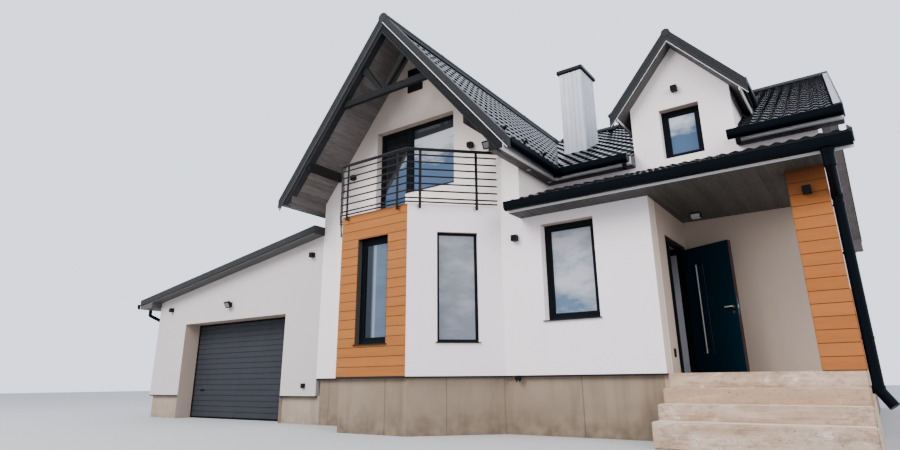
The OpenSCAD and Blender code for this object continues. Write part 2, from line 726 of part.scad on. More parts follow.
// Pale strips along the eaves.
module fascias() {
    color([0.92, 0.92, 0.91]) place() union() {
        block([xw, -lean_over - trim_t, porch_soffit], [xv, -lean_over, lz(-lean_over) - tile_v]);
        along_x([[-lean_over, porch_soffit + trim_t], [pier_y, porch_soffit + trim_t], [pier_y, lz(pier_y) - tile_v - lean_deck],
            [-lean_over, lz(-lean_over) - tile_v - lean_deck]], xr - trim_t, xr);
        for (s = [1, -1]) along_y([[dx + s * du, dz(dx + du) - dormer_th - 40], [dx + s * (du + trim_t), dz(dx + du) - dormer_th - 40],
            [dx + s * (du + trim_t), dz(dx + du) - tile_v], [dx + s * du, dz(dx + du) - tile_v]], dy0, yd - 60);
        block([xm + uf, -gable_over, eave_under], [xm + uf + trim_t, yf - trim_t, gz(xm + uf) - tile_v]);
        block([xm - uf - trim_t, -gable_over, eave_under], [xm - uf, y_back, gz(xm + uf) - tile_v]);
        block([xm + uf, yf - trim_t, eave_under], [dormer_x, yf, wz(yf) - tile_v]);
        block([dormer_x + dormer_w, yf - trim_t, eave_under], [xv, yf, wz(yf) - tile_v]);
        block([xm + uf, yr, eave_under + 60], [xv, yr + trim_t, wz(yr) - tile_v]);
        block([x_low - trim_t, -garage_verge, sz(x_low) - 60], [x_low, garage_depth + garage_verge, sz(x_low) + garage_deck]);
    }
}

// Gutter with a round bottom and upright sides: its back lies at u = 0 and its rim at z = 0.
module gutter_line(w = gutter_w) {
    difference() {
        union() {
            translate([w / 2, -gutter_up]) circle(d = w, $fn = 32);
            translate([0, -gutter_up]) square([w, gutter_up]);
        }
        translate([w / 2, -gutter_up]) circle(d = w - 2 * gutter_t, $fn = 32);
        translate([gutter_t, -gutter_up]) square([w - 2 * gutter_t, gutter_up + w]);
        translate([-w, 0]) square([3 * w, w]);
    }
}

module gutter_x(x0, x1, y, z, s) {
    translate([x0, y, z]) rotate([90, 0, 90]) linear_extrude(x1 - x0) scale([1, 1]) mirror([s < 0 ? 1 : 0, 0]) gutter_line();
}

module gutter_y(y0, y1, x, z, s, w = gutter_w) {
    translate([x, y1, z]) rotate([90, 0, 0]) linear_extrude(y1 - y0) mirror([s < 0 ? 1 : 0, 0]) gutter_line(w);
}

module gutters() {
    zt = upper_rim;
    color([0.10, 0.10, 0.11]) place() union() {
        gutter_x(xw, xv, -lean_over - trim_t, lean_rim, -1);
        gutter_y(-gable_over, yf - trim_t, xm + uf + trim_t, zt, 1);
        gutter_y(-gable_over, y_back, xm - uf - trim_t, zt, -1);
        gutter_x(xm + uf + trim_t, dormer_x - 20, yf - trim_t, zt, -1);
        gutter_x(dormer_x + dormer_w - 90, xv, yf - trim_t, zt, -1);
        gutter_x(xm + uf, xv, yr + trim_t, wz(yr) - tile_v - 60, 1);
        for (s = [1, -1]) gutter_y(dy0, yd - 60, dx + s * (du + trim_t), dz(dx + du) - tile_v - 20, s, dormer_gutter);
        gutter_y(-garage_verge, garage_depth + garage_verge, x_low - trim_t, sz(x_low) + garage_deck - 10, -1);
    }
}

module rod(a, b, d) {
    v = b - a;
    len = norm(v);
    translate(a) rotate([0, acos(v[2] / len), atan2(v[1], v[0])]) cylinder(h = len, d = d, $fn = 20);
}

module downpipes() {
    r = pipe_d / 2;
    yg = -lean_over - trim_t - gutter_w / 2;
    px = xr + r + 10;
    py = pier_y + r;
    gx = x_low - trim_t - gutter_w / 2;
    gr = sz(x_low) + garage_deck - 10 - gutter_deep;
    color([0.10, 0.10, 0.11]) place() union() {
        translate([px, yg, lean_rim - gutter_deep - 150]) cylinder(h = 150, r1 = r, r2 = gutter_w / 2, $fn = 32);
        for (c = [[yg, lean_rim - gutter_deep - 150, 60], [py, porch_soffit - 400, 60], [py, 650, 45]])
            translate([px, c[0], c[1] - c[2]]) cylinder(h = 2 * c[2], d = pipe_d + 15, $fn = 20);
        rod([px, yg, lean_rim - gutter_deep - 150], [px, py, porch_soffit - 400], pipe_d);
        translate([px, py, 650]) cylinder(h = porch_soffit - 1050, d = pipe_d, $fn = 20);
        rod([px, py, 650], [px + 112, py - 44, 470], pipe_d);
        for (x = [dormer_x - 90, dormer_x + dormer_w + 50])
            translate([x, yf - trim_t - gutter_w / 2, lz(yf - trim_t) + 60])
                cylinder(h = upper_rim - gutter_deep - lz(yf - trim_t) - 60, d = 70, $fn = 20);
        translate([gx, 60, gr - 140]) cylinder(h = 140, d = garage_pipe, $fn = 20);
        rod([gx, 60, gr - 135], [xg - garage_pipe / 2 - 10, 330, gr - 420], garage_pipe);
        translate([xg - garage_pipe / 2 - 10, 330, 200]) cylinder(h = gr - 615, d = garage_pipe, $fn = 20);
    }
}

module chimney() {
    color([0.72, 0.72, 0.72]) place()
        block([chimney_x, chimney_y, floor_top], [chimney_x + chimney_w, chimney_y + chimney_d, chimney_top]);
}

// Cap of the chimney and the vent pipe with its hood.
module roof_vents() {
    color([0.2, 0.2, 0.2]) place() {
        block([chimney_x - 50, chimney_y - 50, chimney_top], [chimney_x + chimney_w + 50, chimney_y + chimney_d + 50, chimney_top + 50]);
        difference() {
            translate([1060, 6430, wz(6430) - 100]) union() {
                cylinder(h = 480, d = 110);
                translate([0, 0, 480]) cylinder(h = 60, d = 170);
            }
            under_long(0);
        }
    }
}

// A slim corner bar that takes the ends of the rails of two runs.
module rail_corner(turn) {
    rotate([0, 0, turn]) {
        block([-rail_d * 0.6, -rail_d * 0.6, floor_top + 25], [rail_d * 0.6, rail_d * 0.6, floor_top + rail_h - handrail_d / 2]);
        block([-rail_knob, -rail_knob, floor_top + rail_h - handrail_d - 3],
            [rail_knob, rail_knob, floor_top + rail_h + 3]);
    }
}

// One run of railing along X from 0 to a length, with posts at the given places.
module rail_run(len, posts) {
    translate([10, 0, floor_top + rail_h - handrail_d / 2]) rotate([0, 90, 0]) cylinder(h = len - 20, d = handrail_d);
    for (k = [0 : rail_n - 1])
        translate([10, 0, floor_top + 110 + k * (rail_h - 230) / (rail_n - 1)]) rotate([0, 90, 0]) cylinder(h = len - 20, d = rail_d);
    translate([10, 0, floor_top + 42]) rotate([0, 90, 0]) cylinder(h = len - 20, d = rail_d);
    for (p = posts) {
        block([p - post_w / 2, -post_t / 2, floor_top - 90], [p + post_w / 2, post_t / 2, floor_top + rail_h - handrail_d / 2]);
        for (z = [30, 70]) translate([p, 0, floor_top - z]) rotate([-90, 0, 0]) cylinder(h = rail_out, d = 22);
    }
}

module balcony_railing() {
    o = rail_out;
    f = o * tan(22.5);
    color([0.22, 0.20, 0.19]) place() union() {
        translate([-bay_front - f, -bay_out - o, 0]) rail_corner(-22.5);
        translate([f, -bay_out - o, 0]) rail_corner(22.5);
        translate([-bay_front - f, -bay_out - o, 0]) rail_run(bay_front + 2 * f, [160, bay_front - 165]);
        translate([f, -bay_out - o, 0]) rotate([0, 0, 45]) rail_run(slant - o + f, [223, slant * 0.75]);
        translate([-bay_front - f, -bay_out - o, 0]) rotate([0, 0, 135]) mirror([0, 1, 0]) rail_run(slant - o + f, [223, slant * 0.75]);
    }
}

// A rectangular frame lying in X-Z with its outer face at y = 0.
module frame(w, h, bars = [], fw = frame_w) {
    difference() {
        cube([w, frame_d, h]);
        translate([fw, -eps, fw]) cube([w - 2 * fw, frame_d + 2 * eps, h - 2 * fw]);
    }
    for (b = bars) translate([b - fw / 2, 0, fw]) cube([fw, frame_d, h - 2 * fw]);
}

module pane(w, h, fw = frame_w) {
    translate([fw, (frame_d - glass_t) / 2, fw]) cube([w - 2 * fw, glass_t, h - 2 * fw]);
}

module window_frames() {
    color([0.13, 0.14, 0.15]) place() union() {
        translate([bay_win_x, -bay_out + 100, bay_win_sill]) frame(bay_win_w, bay_win_h);
        on_slant() translate([slant_win_s, 60, bay_win_sill]) frame(bay_win_w, bay_win_h, fw = slim_w);
        translate([room_win_x, frame_in, room_win_sill]) frame(room_win_w, room_win_h);
        translate([balcony_x, frame_in, floor_top]) frame(balcony_door_w, balcony_top - floor_top);
        translate([balcony_x + balcony_door_w, frame_in, balcony_sill]) frame(balcony_w - balcony_door_w, balcony_top - balcony_sill);
        translate([dormer_win_x, yu + frame_in, dormer_sill]) frame(dormer_win_w, dormer_win_h);
        for (y = [4200, 8600]) translate([xr - frame_in, y, side_sill]) rotate([0, 0, 90]) frame(side_win_w, side_win_h);
        for (y = [5100, 7600]) translate([xr - frame_in, y, loft_sill]) rotate([0, 0, 90]) frame(side_win_w, loft_win_h);
        for (x = [-2300, 200, 3100]) translate([x + side_win_w, yb - frame_in, side_sill]) rotate([0, 0, 180]) frame(side_win_w, side_win_h);
        translate([xm + loft_win_w / 2, yb - frame_in, loft_sill]) rotate([0, 0, 180]) frame(loft_win_w, loft_win_h, [loft_win_w / 2]);
    }
}

module lower_glass() {
    color([0.45, 0.52, 0.58]) place() union() {
        translate([bay_win_x, -bay_out + 100, bay_win_sill]) pane(bay_win_w, bay_win_h);
        on_slant() translate([slant_win_s, 60, bay_win_sill]) pane(bay_win_w, bay_win_h, slim_w);
        translate([room_win_x, frame_in, room_win_sill]) pane(room_win_w, room_win_h);
        for (y = [4200, 8600]) translate([xr - frame_in, y, side_sill]) rotate([0, 0, 90]) pane(side_win_w, side_win_h);
        for (x = [-2300, 200, 3100]) translate([x + side_win_w, yb - frame_in, side_sill]) rotate([0, 0, 180]) pane(side_win_w, side_win_h);
    }
}

module upper_glass() {
    color([0.45, 0.52, 0.58]) place() union() {
        translate([balcony_x, frame_in, floor_top]) pane(balcony_door_w, balcony_top - floor_top);
        translate([balcony_x + balcony_door_w, frame_in, balcony_sill]) pane(balcony_w - balcony_door_w, balcony_top - balcony_sill);
        translate([dormer_win_x, yu + frame_in, dormer_sill]) pane(dormer_win_w, dormer_win_h);
        for (y = [5100, 7600]) translate([xr - frame_in, y, loft_sill]) rotate([0, 0, 90]) pane(side_win_w, loft_win_h);
        translate([xm + loft_win_w / 2, yb - frame_in, loft_sill]) rotate([0, 0, 180]) difference() {
            pane(loft_win_w, loft_win_h);
            translate([(loft_win_w - frame_w) / 2, -eps, 0]) cube([frame_w, 200, loft_win_h]);
        }
    }
}

// A sill with its back edge at y = 0, reaching out to the front.
module sill(w, d) {
    translate([-25, -30, -15]) cube([w + 50, d + 30, 15]);
}

module window_sills() {
    color([0.20, 0.20, 0.21]) place() union() {
        translate([bay_win_x, -bay_out, bay_win_sill]) translate([-25, -30, -15]) cube([bay_win_w + 50, 30, 15]);
        translate([room_win_x, 0, room_win_sill]) translate([-25, -30, -15]) cube([room_win_w + 50, 30, 15]);
        on_slant() translate([slant_win_s, 0, bay_win_sill]) translate([-25, -30, -15]) cube([bay_win_w + 50, 30, 15]);
        for (y = [4200, 8600]) block([xr, y - 25, side_sill - 15], [xr + 30, y + side_win_w + 25, side_sill]);
        for (x = [-2300, 200, 3100]) block([x - 25, yb, side_sill - 15], [x + side_win_w + 25, yb + 30, side_sill]);
    }
}

module garage_door() {
    color([0.22, 0.23, 0.25]) place() union() {
        block([xgate, gate_in, 0], [xgate + gate_w, gate_in + gate_d, gate_h]);
    }
}

// Frame of the entrance with its narrow fixed light beside the leaf.
module door_frame() {
    y1 = entry_y1;
    y2 = y1 - jamb_w - leaf_w - 2 * leaf_gap;
    color([0.13, 0.14, 0.15]) place() union() {
        block([xp - 110, entry_y, plinth_h], [xp - 20, entry_y + jamb_w, entry_z]);
        block([xp - 110, y1 - jamb_w, plinth_h], [xp - 20, y1, entry_z]);
        block([xp - 110, y2 - jamb_w, plinth_h], [xp - 20, y2, entry_z - jamb_w]);
        block([xp - 110, entry_y + jamb_w, entry_z - jamb_w], [xp - 20, y1 - jamb_w, entry_z]);
        block([xp - 110, entry_y + jamb_w, plinth_h], [xp - 20, y2 - jamb_w, plinth_h + jamb_w]);
        block([xp - 75, entry_y + jamb_w, plinth_h + jamb_w], [xp - 55, y2 - jamb_w, entry_z - jamb_w]);
        for (z = hinge_z) frame_knuckle(plinth_h + z);
    }
}

// Axis of the door hinge.
hinge_x = xp + 4;
hinge_y = entry_y1 - jamb_w - leaf_gap / 2;

// The leaf is drawn shut, pointing to the front from its hinge, and then opened.
module on_leaf() {
    translate([hinge_x, hinge_y, plinth_h]) rotate([0, 0, leaf_open])
        translate([-leaf_set, -leaf_gap / 2, 0]) children();
}

// Heights of the hinges above the porch floor.
hinge_z = [220, 980, 1720];

// Lower knuckle of a hinge with its plate on the frame.
module frame_knuckle(z) {
    translate([hinge_x, hinge_y, z - 60]) cylinder(h = 60, r = knuckle_r);
    block([xp - 40, hinge_y + leaf_gap / 2, z - 60], [hinge_x, hinge_y + leaf_gap / 2 + 6, z]);
}

// Upper knuckle of a hinge with its plate on the leaf, drawn with the leaf.
module leaf_knuckle(z) {
    translate([leaf_set, leaf_gap / 2, z]) cylinder(h = 60, r = knuckle_r);
    translate([-20, -6, z]) cube([20 + leaf_set, 6, 60]);
}

module door_leaf() {
    color([0.08, 0.10, 0.14]) place() on_leaf() union() {
        translate([-leaf_t, -leaf_w, 12]) cube([leaf_t, leaf_w, entry_h - jamb_w - 12 - leaf_gap]);
        for (z = hinge_z) leaf_knuckle(z);
    }
}

module door_handles() {
    color([0.75, 0.75, 0.76]) place() on_leaf() union() {
        for (z = [bar_low + 50, bar_low + pull_len - 50]) translate([-leaf_t - 40, -bar_in, z]) rotate([0, 90, 0]) cylinder(h = 40, d = 16);
        translate([-leaf_t - 50, -bar_in, bar_low]) cylinder(h = pull_len, d = 28);
        translate([-leaf_t - 8, -leaf_w + 60, lever_h]) rotate([0, 90, 0]) cylinder(h = 8, d = 50);
        translate([-leaf_t - 50, -leaf_w + 60, lever_h]) rotate([0, 90, 0]) cylinder(h = 45, d = 20);
        translate([-leaf_t - 56, -leaf_w + 50, lever_h - 10]) cube([14, 130, 20]);
        translate([0, -leaf_w + 60, lever_h]) rotate([0, 90, 0]) cylinder(h = 40, d = 20);
        translate([32, -leaf_w + 50, lever_h - 10]) cube([12, 130, 20]);
    }
}

// A wall lamp whose back rests on the wall at a point.
module lamp(p) {
    translate(p) translate([-50, -90, -50]) cube([100, 90, 100]);
}

// A floodlight that looks down from its bracket on the wall.
module floodlight(p) {
    translate(p) {
        translate([-35, -12, -45]) cube([70, 12, 90]);
        translate([-15, -90, -10]) cube([30, 80, 20]);
        translate([0, -80, 0]) rotate([30, 0, 0]) translate([-90, -50, -85]) cube([180, 50, 150]);
    }
}

// Lamps, floodlights, the ceiling light of the porch and the socket.
module wall_fittings() {
    color([0.07, 0.07, 0.08]) place() union() {
        lamp([-8716, 0, 2599]);
        lamp([-3500, 0, 3375]);
        lamp([-2369, 0, 4876]);
        lamp([564, 0, 4889]);
        lamp([1400, 0, 3023]);
        lamp([5579, pier_y, 3040]);
        lamp([3919, yu, 5495]);
        floodlight([960, 0, 4800]);
        floodlight([-6238, 0, 2562]);
        translate([3870, 1340, porch_soffit - 90]) cube([150, 120, 90]);
        translate([-3600, -45, 680]) cube([90, 45, 90]);
    }
}

module gable_vent() {
    color([0.1, 0.1, 0.1]) place()
        block([-950, -25, 6415], [-580, 0, 6925]);
}

plinth();
garage_plinth();
ground_floors();
upper_floor();
porch_steps();
bay_walls();
timber_cladding();
balcony_deck();
front_wall();
room_wall();
left_wall();
right_wall();
rear_wall();
upper_wall();
porch_wall_near();
porch_wall_head();
porch_back_wall();
pier();
garage_walls();
wing_roof_deck();
wing_tiles();
long_roof_deck();
long_tiles();
lean_roof_deck();
lean_tiles();
dormer_roof_deck();
dormer_tiles();
garage_roof_deck();
garage_tiles();
roof_flashings();
gable_truss();
soffit_boards();
fascias();
gutters();
downpipes();
chimney();
roof_vents();
balcony_railing();
window_frames();
lower_glass();
upper_glass();
window_sills();
garage_door();
door_frame();
door_leaf();
door_handles();
wall_fittings();
gable_vent();
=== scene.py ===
"""Looks of a detached modern house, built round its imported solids.

All places are in the plan's own metres: X along the front from the bay's front
right corner, Y into the house from the front wall, Z up from the ground. Each
finished mesh is shifted once into the frame of the solids.
"""

import logging
import math
from dataclasses import dataclass, field
from enum import Enum
from typing import Any, Callable, Sequence

import bmesh
import bpy
from mathutils import Matrix, Vector


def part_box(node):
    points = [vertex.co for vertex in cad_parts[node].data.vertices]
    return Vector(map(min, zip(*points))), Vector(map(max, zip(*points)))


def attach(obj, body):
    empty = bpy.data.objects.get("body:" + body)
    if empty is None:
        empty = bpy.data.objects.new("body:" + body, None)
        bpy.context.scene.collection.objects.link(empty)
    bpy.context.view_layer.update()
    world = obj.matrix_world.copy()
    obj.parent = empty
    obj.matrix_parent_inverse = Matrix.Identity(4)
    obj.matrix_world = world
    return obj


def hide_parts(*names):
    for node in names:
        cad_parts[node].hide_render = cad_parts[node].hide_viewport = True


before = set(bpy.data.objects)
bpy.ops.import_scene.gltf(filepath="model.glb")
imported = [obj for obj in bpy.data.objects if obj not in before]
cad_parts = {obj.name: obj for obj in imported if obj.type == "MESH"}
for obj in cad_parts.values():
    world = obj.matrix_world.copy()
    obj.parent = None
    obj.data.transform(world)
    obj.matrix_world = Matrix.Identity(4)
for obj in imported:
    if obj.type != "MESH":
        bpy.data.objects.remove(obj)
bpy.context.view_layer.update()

LOG = logging.getLogger("house")
HOUSE, LEAF = "house", "entrance_leaf"
Point = Sequence[float]
Colour = tuple[float, float, float]


# Plan of the house


@dataclass(frozen=True)
class Plan:
    """Main sizes of the house in metres, as the solids have them."""

    garage_left: float = -9.3
    wing_left: float = -3.2
    wing_right: float = 1.5
    porch_left: float = 3.6
    right: float = 5.81
    rear: float = 12.1
    garage_rear: float = 7.0
    porch_rear: float = 1.935
    upper_front: float = 1.208
    bay_front: float = 1.495
    bay_out: float = 1.122
    plinth: float = 0.86
    garage_plinth: float = 0.53
    floor: float = 3.62
    porch_soffit: float = 3.352
    eave: float = 4.253
    ridge: float = 7.7
    ridge_x: float = -0.85
    ridge_y: float = 6.956
    wing_run: float = 2.59
    wing_pitch: float = 1.23
    long_pitch: float = 0.544
    dormer_pitch: float = 1.2
    lean_pitch: float = 0.39
    garage_pitch: float = 0.153
    gable_over: float = 0.93
    front_eave: float = 0.968
    rear_eave: float = 12.34
    verge_x: float = 6.149
    verge_y: float = 12.439
    dormer_x: float = 3.9395
    dormer_half: float = 0.8075
    dormer_run: float = 0.9675
    dormer_verge: float = 1.0955
    dormer_ridge: float = 6.54
    dormer_front: float = 1.008
    lean_front: float = -0.392
    lean_top: float = 4.2
    garage_low: float = -9.85
    garage_soffit: float = 3.762
    tile: float = 0.06

    def wing_z(self, x: float) -> float:
        """Height of the top of the gabled wing's tiles at x."""
        return self.ridge - self.wing_pitch * abs(x - self.ridge_x)

    def long_z(self, y: float) -> float:
        """Height of the top of the long roof's tiles at y."""
        return self.ridge - self.long_pitch * abs(y - self.ridge_y)

    def dormer_z(self, x: float) -> float:
        """Height of the top of the dormer's tiles at x."""
        return self.dormer_ridge - self.dormer_pitch * abs(x - self.dormer_x)

    def lean_z(self, y: float) -> float:
        """Height of the top of the porch roof's tiles at y."""
        return self.lean_top - self.lean_pitch * (self.upper_front - y)

    def garage_z(self, x: float) -> float:
        """Height of the garage soffit at x."""
        return self.garage_soffit + self.garage_pitch * (x - self.wing_left)

    def valley_x(self, y: float) -> float:
        """Where the valley between wing and long roof lies at y."""
        return self.ridge_x + self.long_pitch / self.wing_pitch * abs(y - self.ridge_y)


PLAN = Plan()
_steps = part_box("porch_steps")[1]
SHIFT = Matrix.Translation((_steps.x - PLAN.right, _steps.y - PLAN.porch_rear - 0.06, 0.0))


# Node trees


class Term:
    """A value socket that takes part in arithmetic."""

    def __init__(self, tree: bpy.types.NodeTree, socket: bpy.types.NodeSocket) -> None:
        """Keeps the tree and the socket."""
        self.tree, self.socket = tree, socket

    def math(self, operation: str, *others: Any) -> "Term":
        """Adds one Math node.

        Args:
            operation: name of the operation.
            others: the further operands, as terms or numbers.
        Returns:
            The result as a term.
        """
        return apply_math(self.tree, operation, self, *others)

    def __add__(self, other: Any) -> "Term":
        """Sum."""
        return self.math("ADD", other)

    __radd__ = __add__

    def __sub__(self, other: Any) -> "Term":
        """Difference."""
        return self.math("SUBTRACT", other)

    def __rsub__(self, other: Any) -> "Term":
        """Difference from a number."""
        return apply_math(self.tree, "SUBTRACT", other, self)

    def __mul__(self, other: Any) -> "Term":
        """Product."""
        return self.math("MULTIPLY", other)

    __rmul__ = __mul__

    def __truediv__(self, other: Any) -> "Term":
        """Quotient."""
        return self.math("DIVIDE", other)

    def __rtruediv__(self, other: Any) -> "Term":
        """Quotient of a number by this."""
        return apply_math(self.tree, "DIVIDE", other, self)

    def __pow__(self, other: Any) -> "Term":
        """Power."""
        return self.math("POWER", other)

    def clamp(self) -> "Term":
        """The value kept between 0 and 1."""
        return self.math("MINIMUM", 1.0).math("MAXIMUM", 0.0)

    def band(self, low: float, high: float) -> "Term":
        """0 below low, 1 above high and a straight ramp between them."""
        return ((self - low) * (1.0 / (high - low))).clamp()


def apply_math(tree: bpy.types.NodeTree, operation: str, *values: Any) -> Term:
    """Adds a Math node with its operands.

    Args:
        tree: tree that gets the node.
        operation: name of the operation.
        values: operands, as terms, sockets or numbers.
    Returns:
        The result as a term.
    """
    node = tree.nodes.new("ShaderNodeMath")
    node.operation = operation
    for k, value in enumerate(values):
        connect(tree, value, node.inputs[k])
    return Term(tree, node.outputs[0])


def connect(tree: bpy.types.NodeTree, value: Any, target: bpy.types.NodeSocket) -> None:
    """Links a socket or sets a value.

    Args:
        tree: tree that holds both ends.
        value: term, socket or plain value.
        target: input socket.
    """
    if isinstance(value, Term):
        tree.links.new(value.socket, target)
    elif isinstance(value, bpy.types.NodeSocket):
        tree.links.new(value, target)
    else:
        target.default_value = value


class Graph:
    """A node tree with one method that adds any node."""

    def __init__(self, tree: bpy.types.NodeTree) -> None:
        """Keeps the tree."""
        self.tree = tree

    def node(self, kind: str, settings: dict[str, Any] | None = None,
             inputs: dict[Any, Any] | None = None) -> bpy.types.Node:
        """Adds a node.

        Args:
            kind: type name of the node.
            settings: its properties, set first.
            inputs: value or link of each input, by name or number.
        Returns:
            The new node.
        """
        made = self.tree.nodes.new(kind)
        for key, value in (settings or {}).items():
            if key == "stops":
                ramp = made.color_ramp
                while len(ramp.elements) < len(value):
                    ramp.elements.new(0.5)
                for element, (place, colour) in zip(ramp.elements, value):
                    element.position, element.color = place, (*colour, 1.0)
            else:
                setattr(made, key, value)
        for key, value in (inputs or {}).items():
            connect(self.tree, value, made.inputs[key])
        return made

    def term(self, node: bpy.types.Node, output: Any = 0) -> Term:
        """An output of a node as a term."""
        return Term(self.tree, node.outputs[output])


class Shader(Graph):
    """Node tree of one material."""

    def __init__(self, name: str) -> None:
        """Makes an empty material with Object coordinates.

        Args:
            name: name of the material.
        """
        self.material = bpy.data.materials.new(name)
        self.material.use_nodes = True
        super().__init__(self.material.node_tree)
        self.tree.nodes.clear()
        self.coords = self.node("ShaderNodeTexCoord").outputs["Object"]
        split = self.node("ShaderNodeSeparateXYZ", inputs={0: self.coords})
        self.x, self.y, self.z = (self.term(split, k) for k in range(3))

    def scaled(self, scale: Point) -> bpy.types.NodeSocket:
        """Object coordinates times a scale."""
        return self.node("ShaderNodeMapping", inputs={"Vector": self.coords, "Scale": scale}).outputs[0]

    def noise(self, scale: float, detail: float = 3.0, stretch: Point = (1.0, 1.0, 1.0), rough: float = 0.5) -> Term:
        """Noise in Object coordinates.

        Args:
            scale: waves per metre.
            detail: octaves.
            stretch: further scale along each axis.
            rough: strength of the finer octaves.
        Returns:
            Its value from 0 to 1.
        """
        return self.term(self.node("ShaderNodeTexNoise", inputs={
            "Vector": self.scaled(stretch), "Scale": scale, "Detail": detail, "Roughness": rough}))

    def cell(self, value: Term) -> Term:
        """A random number for each whole step of a value."""
        return self.term(self.node("ShaderNodeTexWhiteNoise", {"noise_dimensions": "1D"}, {"W": value.math("FLOOR")}))

    def mix(self, factor: Any, a: Any, b: Any) -> bpy.types.NodeSocket:
        """Mixes two colours.

        Args:
            factor: share of the second colour.
            a: first colour.
            b: second colour.
        Returns:
            The mixed colour's socket.
        """
        pair = [(*c, 1.0) if isinstance(c, tuple) and len(c) == 3 else c for c in (a, b)]
        return self.node("ShaderNodeMix", {"data_type": "RGBA"}, {0: factor, 6: pair[0], 7: pair[1]}).outputs[2]

    def bump(self, height: Term, strength: float, distance: float) -> bpy.types.NodeSocket:
        """A bump from a height in metres over distance."""
        return self.node("ShaderNodeBump",
                         inputs={"Height": height, "Strength": strength, "Distance": distance}).outputs[0]

    def surface(self, **links: Any) -> bpy.types.Material:
        """Closes the material with a principled shader.

        Args:
            links: values of its sockets, with underscores for spaces.
        Returns:
            The material.
        """
        shader = self.node("ShaderNodeBsdfPrincipled",
                           inputs={key.replace("_", " "): value for key, value in links.items()})
        self.node("ShaderNodeOutputMaterial", inputs={"Surface": shader.outputs[0]})
        return self.material


# Finishes


@dataclass(frozen=True)
class Render:
    """Troweled fine render with faint clouds, grain and marks of rain.

    Attributes:
        name: name of the material.
        colour: tone of the clean render.
        shade: tone of its marks, and the base of its painted shade.
        grain: strength of the bump.
        stain: strength of the marks.
        joints: distance of upright joints in metres, or 0 for none.
        painted_shade_heights: heights between which the render turns darker upward, painted shade under a roof.
    """

    name: str
    colour: Colour
    shade: Colour
    grain: float = 0.25
    stain: float = 0.25
    joints: float = 0.0
    painted_shade_heights: tuple[float, float] | None = None

    def make(self) -> bpy.types.Material:
        """Builds the material.

        Returns:
            The material.
        """
        s = Shader(self.name)
        cloud = s.noise(0.7, 4.0, rough=0.6)
        streak = s.noise(1.6, 3.0, (2.2, 2.2, 0.25), 0.6)
        fine = s.noise(190.0, 2.0)
        coarse = s.noise(60.0, 2.0)
        dirt = ((cloud.band(0.42, 0.75) * 0.5 + streak.band(0.5, 0.78) * 0.6) * self.stain).clamp()
        base = s.mix(dirt, self.colour, self.shade)
        low = s.z.band(0.0, 0.5) * -1.0 + 1.0
        base = s.mix((low * s.noise(5.0, 4.0).band(0.3, 0.7) * self.stain * 0.8).clamp(), base,
                     tuple(c * 0.7 for c in self.shade))
        # Painted shade: between two heights the render turns darker upward, standing for the shade under a roof.
        if self.painted_shade_heights:
            base = s.mix((s.z.band(*self.painted_shade_heights) * (0.75 + 0.3 * cloud)).clamp(), base,
                         tuple(c * 0.55 for c in self.shade))
        height = fine * 0.5 + coarse * 0.5
        if self.joints:
            across = (s.x + s.y) / self.joints
            line = (across.math("FRACT") - 0.5).math("ABSOLUTE").band(0.488, 0.497)
            base = s.mix(line * 0.5, base, tuple(c * 0.55 for c in self.shade))
            height = height - line
        return s.surface(Base_Color=base, Roughness=0.88 + 0.08 * fine, Specular_IOR_Level=0.25,
                         Normal=s.bump(height, self.grain, 0.002))


@dataclass(frozen=True)
class Paint:
    """Coated metal or plastic with faint dust and a slight ripple.

    Attributes:
        name: name of the material.
        colour: tone of the coat.
        rough: roughness of the clean coat.
        stipple: share of paler dots.
        dust: share of paler clouds.
        shine: specular level.
        streak: share of darker upright streaks.
    """

    name: str
    colour: Colour
    rough: float = 0.45
    stipple: float = 0.0
    dust: float = 0.15
    shine: float = 0.5
    streak: float = 0.0

    def make(self) -> bpy.types.Material:
        """Builds the material.

        Returns:
            The material.
        """
        s = Shader(self.name)
        broad = s.noise(2.3, 4.0, rough=0.6)
        fine = s.noise(160.0, 2.0)
        veil = (broad.band(0.45, 0.8) * self.dust).clamp()
        pale = tuple(min(1.0, c * 1.5 + 0.012) for c in self.colour)
        base = s.mix(veil, self.colour, pale)
        if self.streak:
            run = s.noise(7.0, 4.0, (1.0, 1.0, 0.07), 0.65).band(0.42, 0.68)
            base = s.mix((run * self.streak).clamp(), base, tuple(c * 0.5 for c in self.colour))
        height = s.noise(9.0, 2.0) * 0.3
        if self.stipple:
            dots = s.noise(75.0, 3.0, rough=0.8)
            base = s.mix((dots.band(0.45, 0.65) * self.stipple).clamp(), base,
                         tuple(min(1.0, c * 1.9 + 0.02) for c in self.colour))
            height = height + dots
        return s.surface(Base_Color=base, Roughness=(self.rough + 0.18 * veil + 0.06 * fine).clamp(),
                         Specular_IOR_Level=self.shine, Normal=s.bump(height, 0.12, 0.001))


class Run(Enum):
    """Direction in which the grain of boards runs."""

    ALONG_X = (0.12, 1.0, 1.0)
    ALONG_Y = (1.0, 0.12, 1.0)
    ALONG_Z = (1.0, 1.0, 0.12)


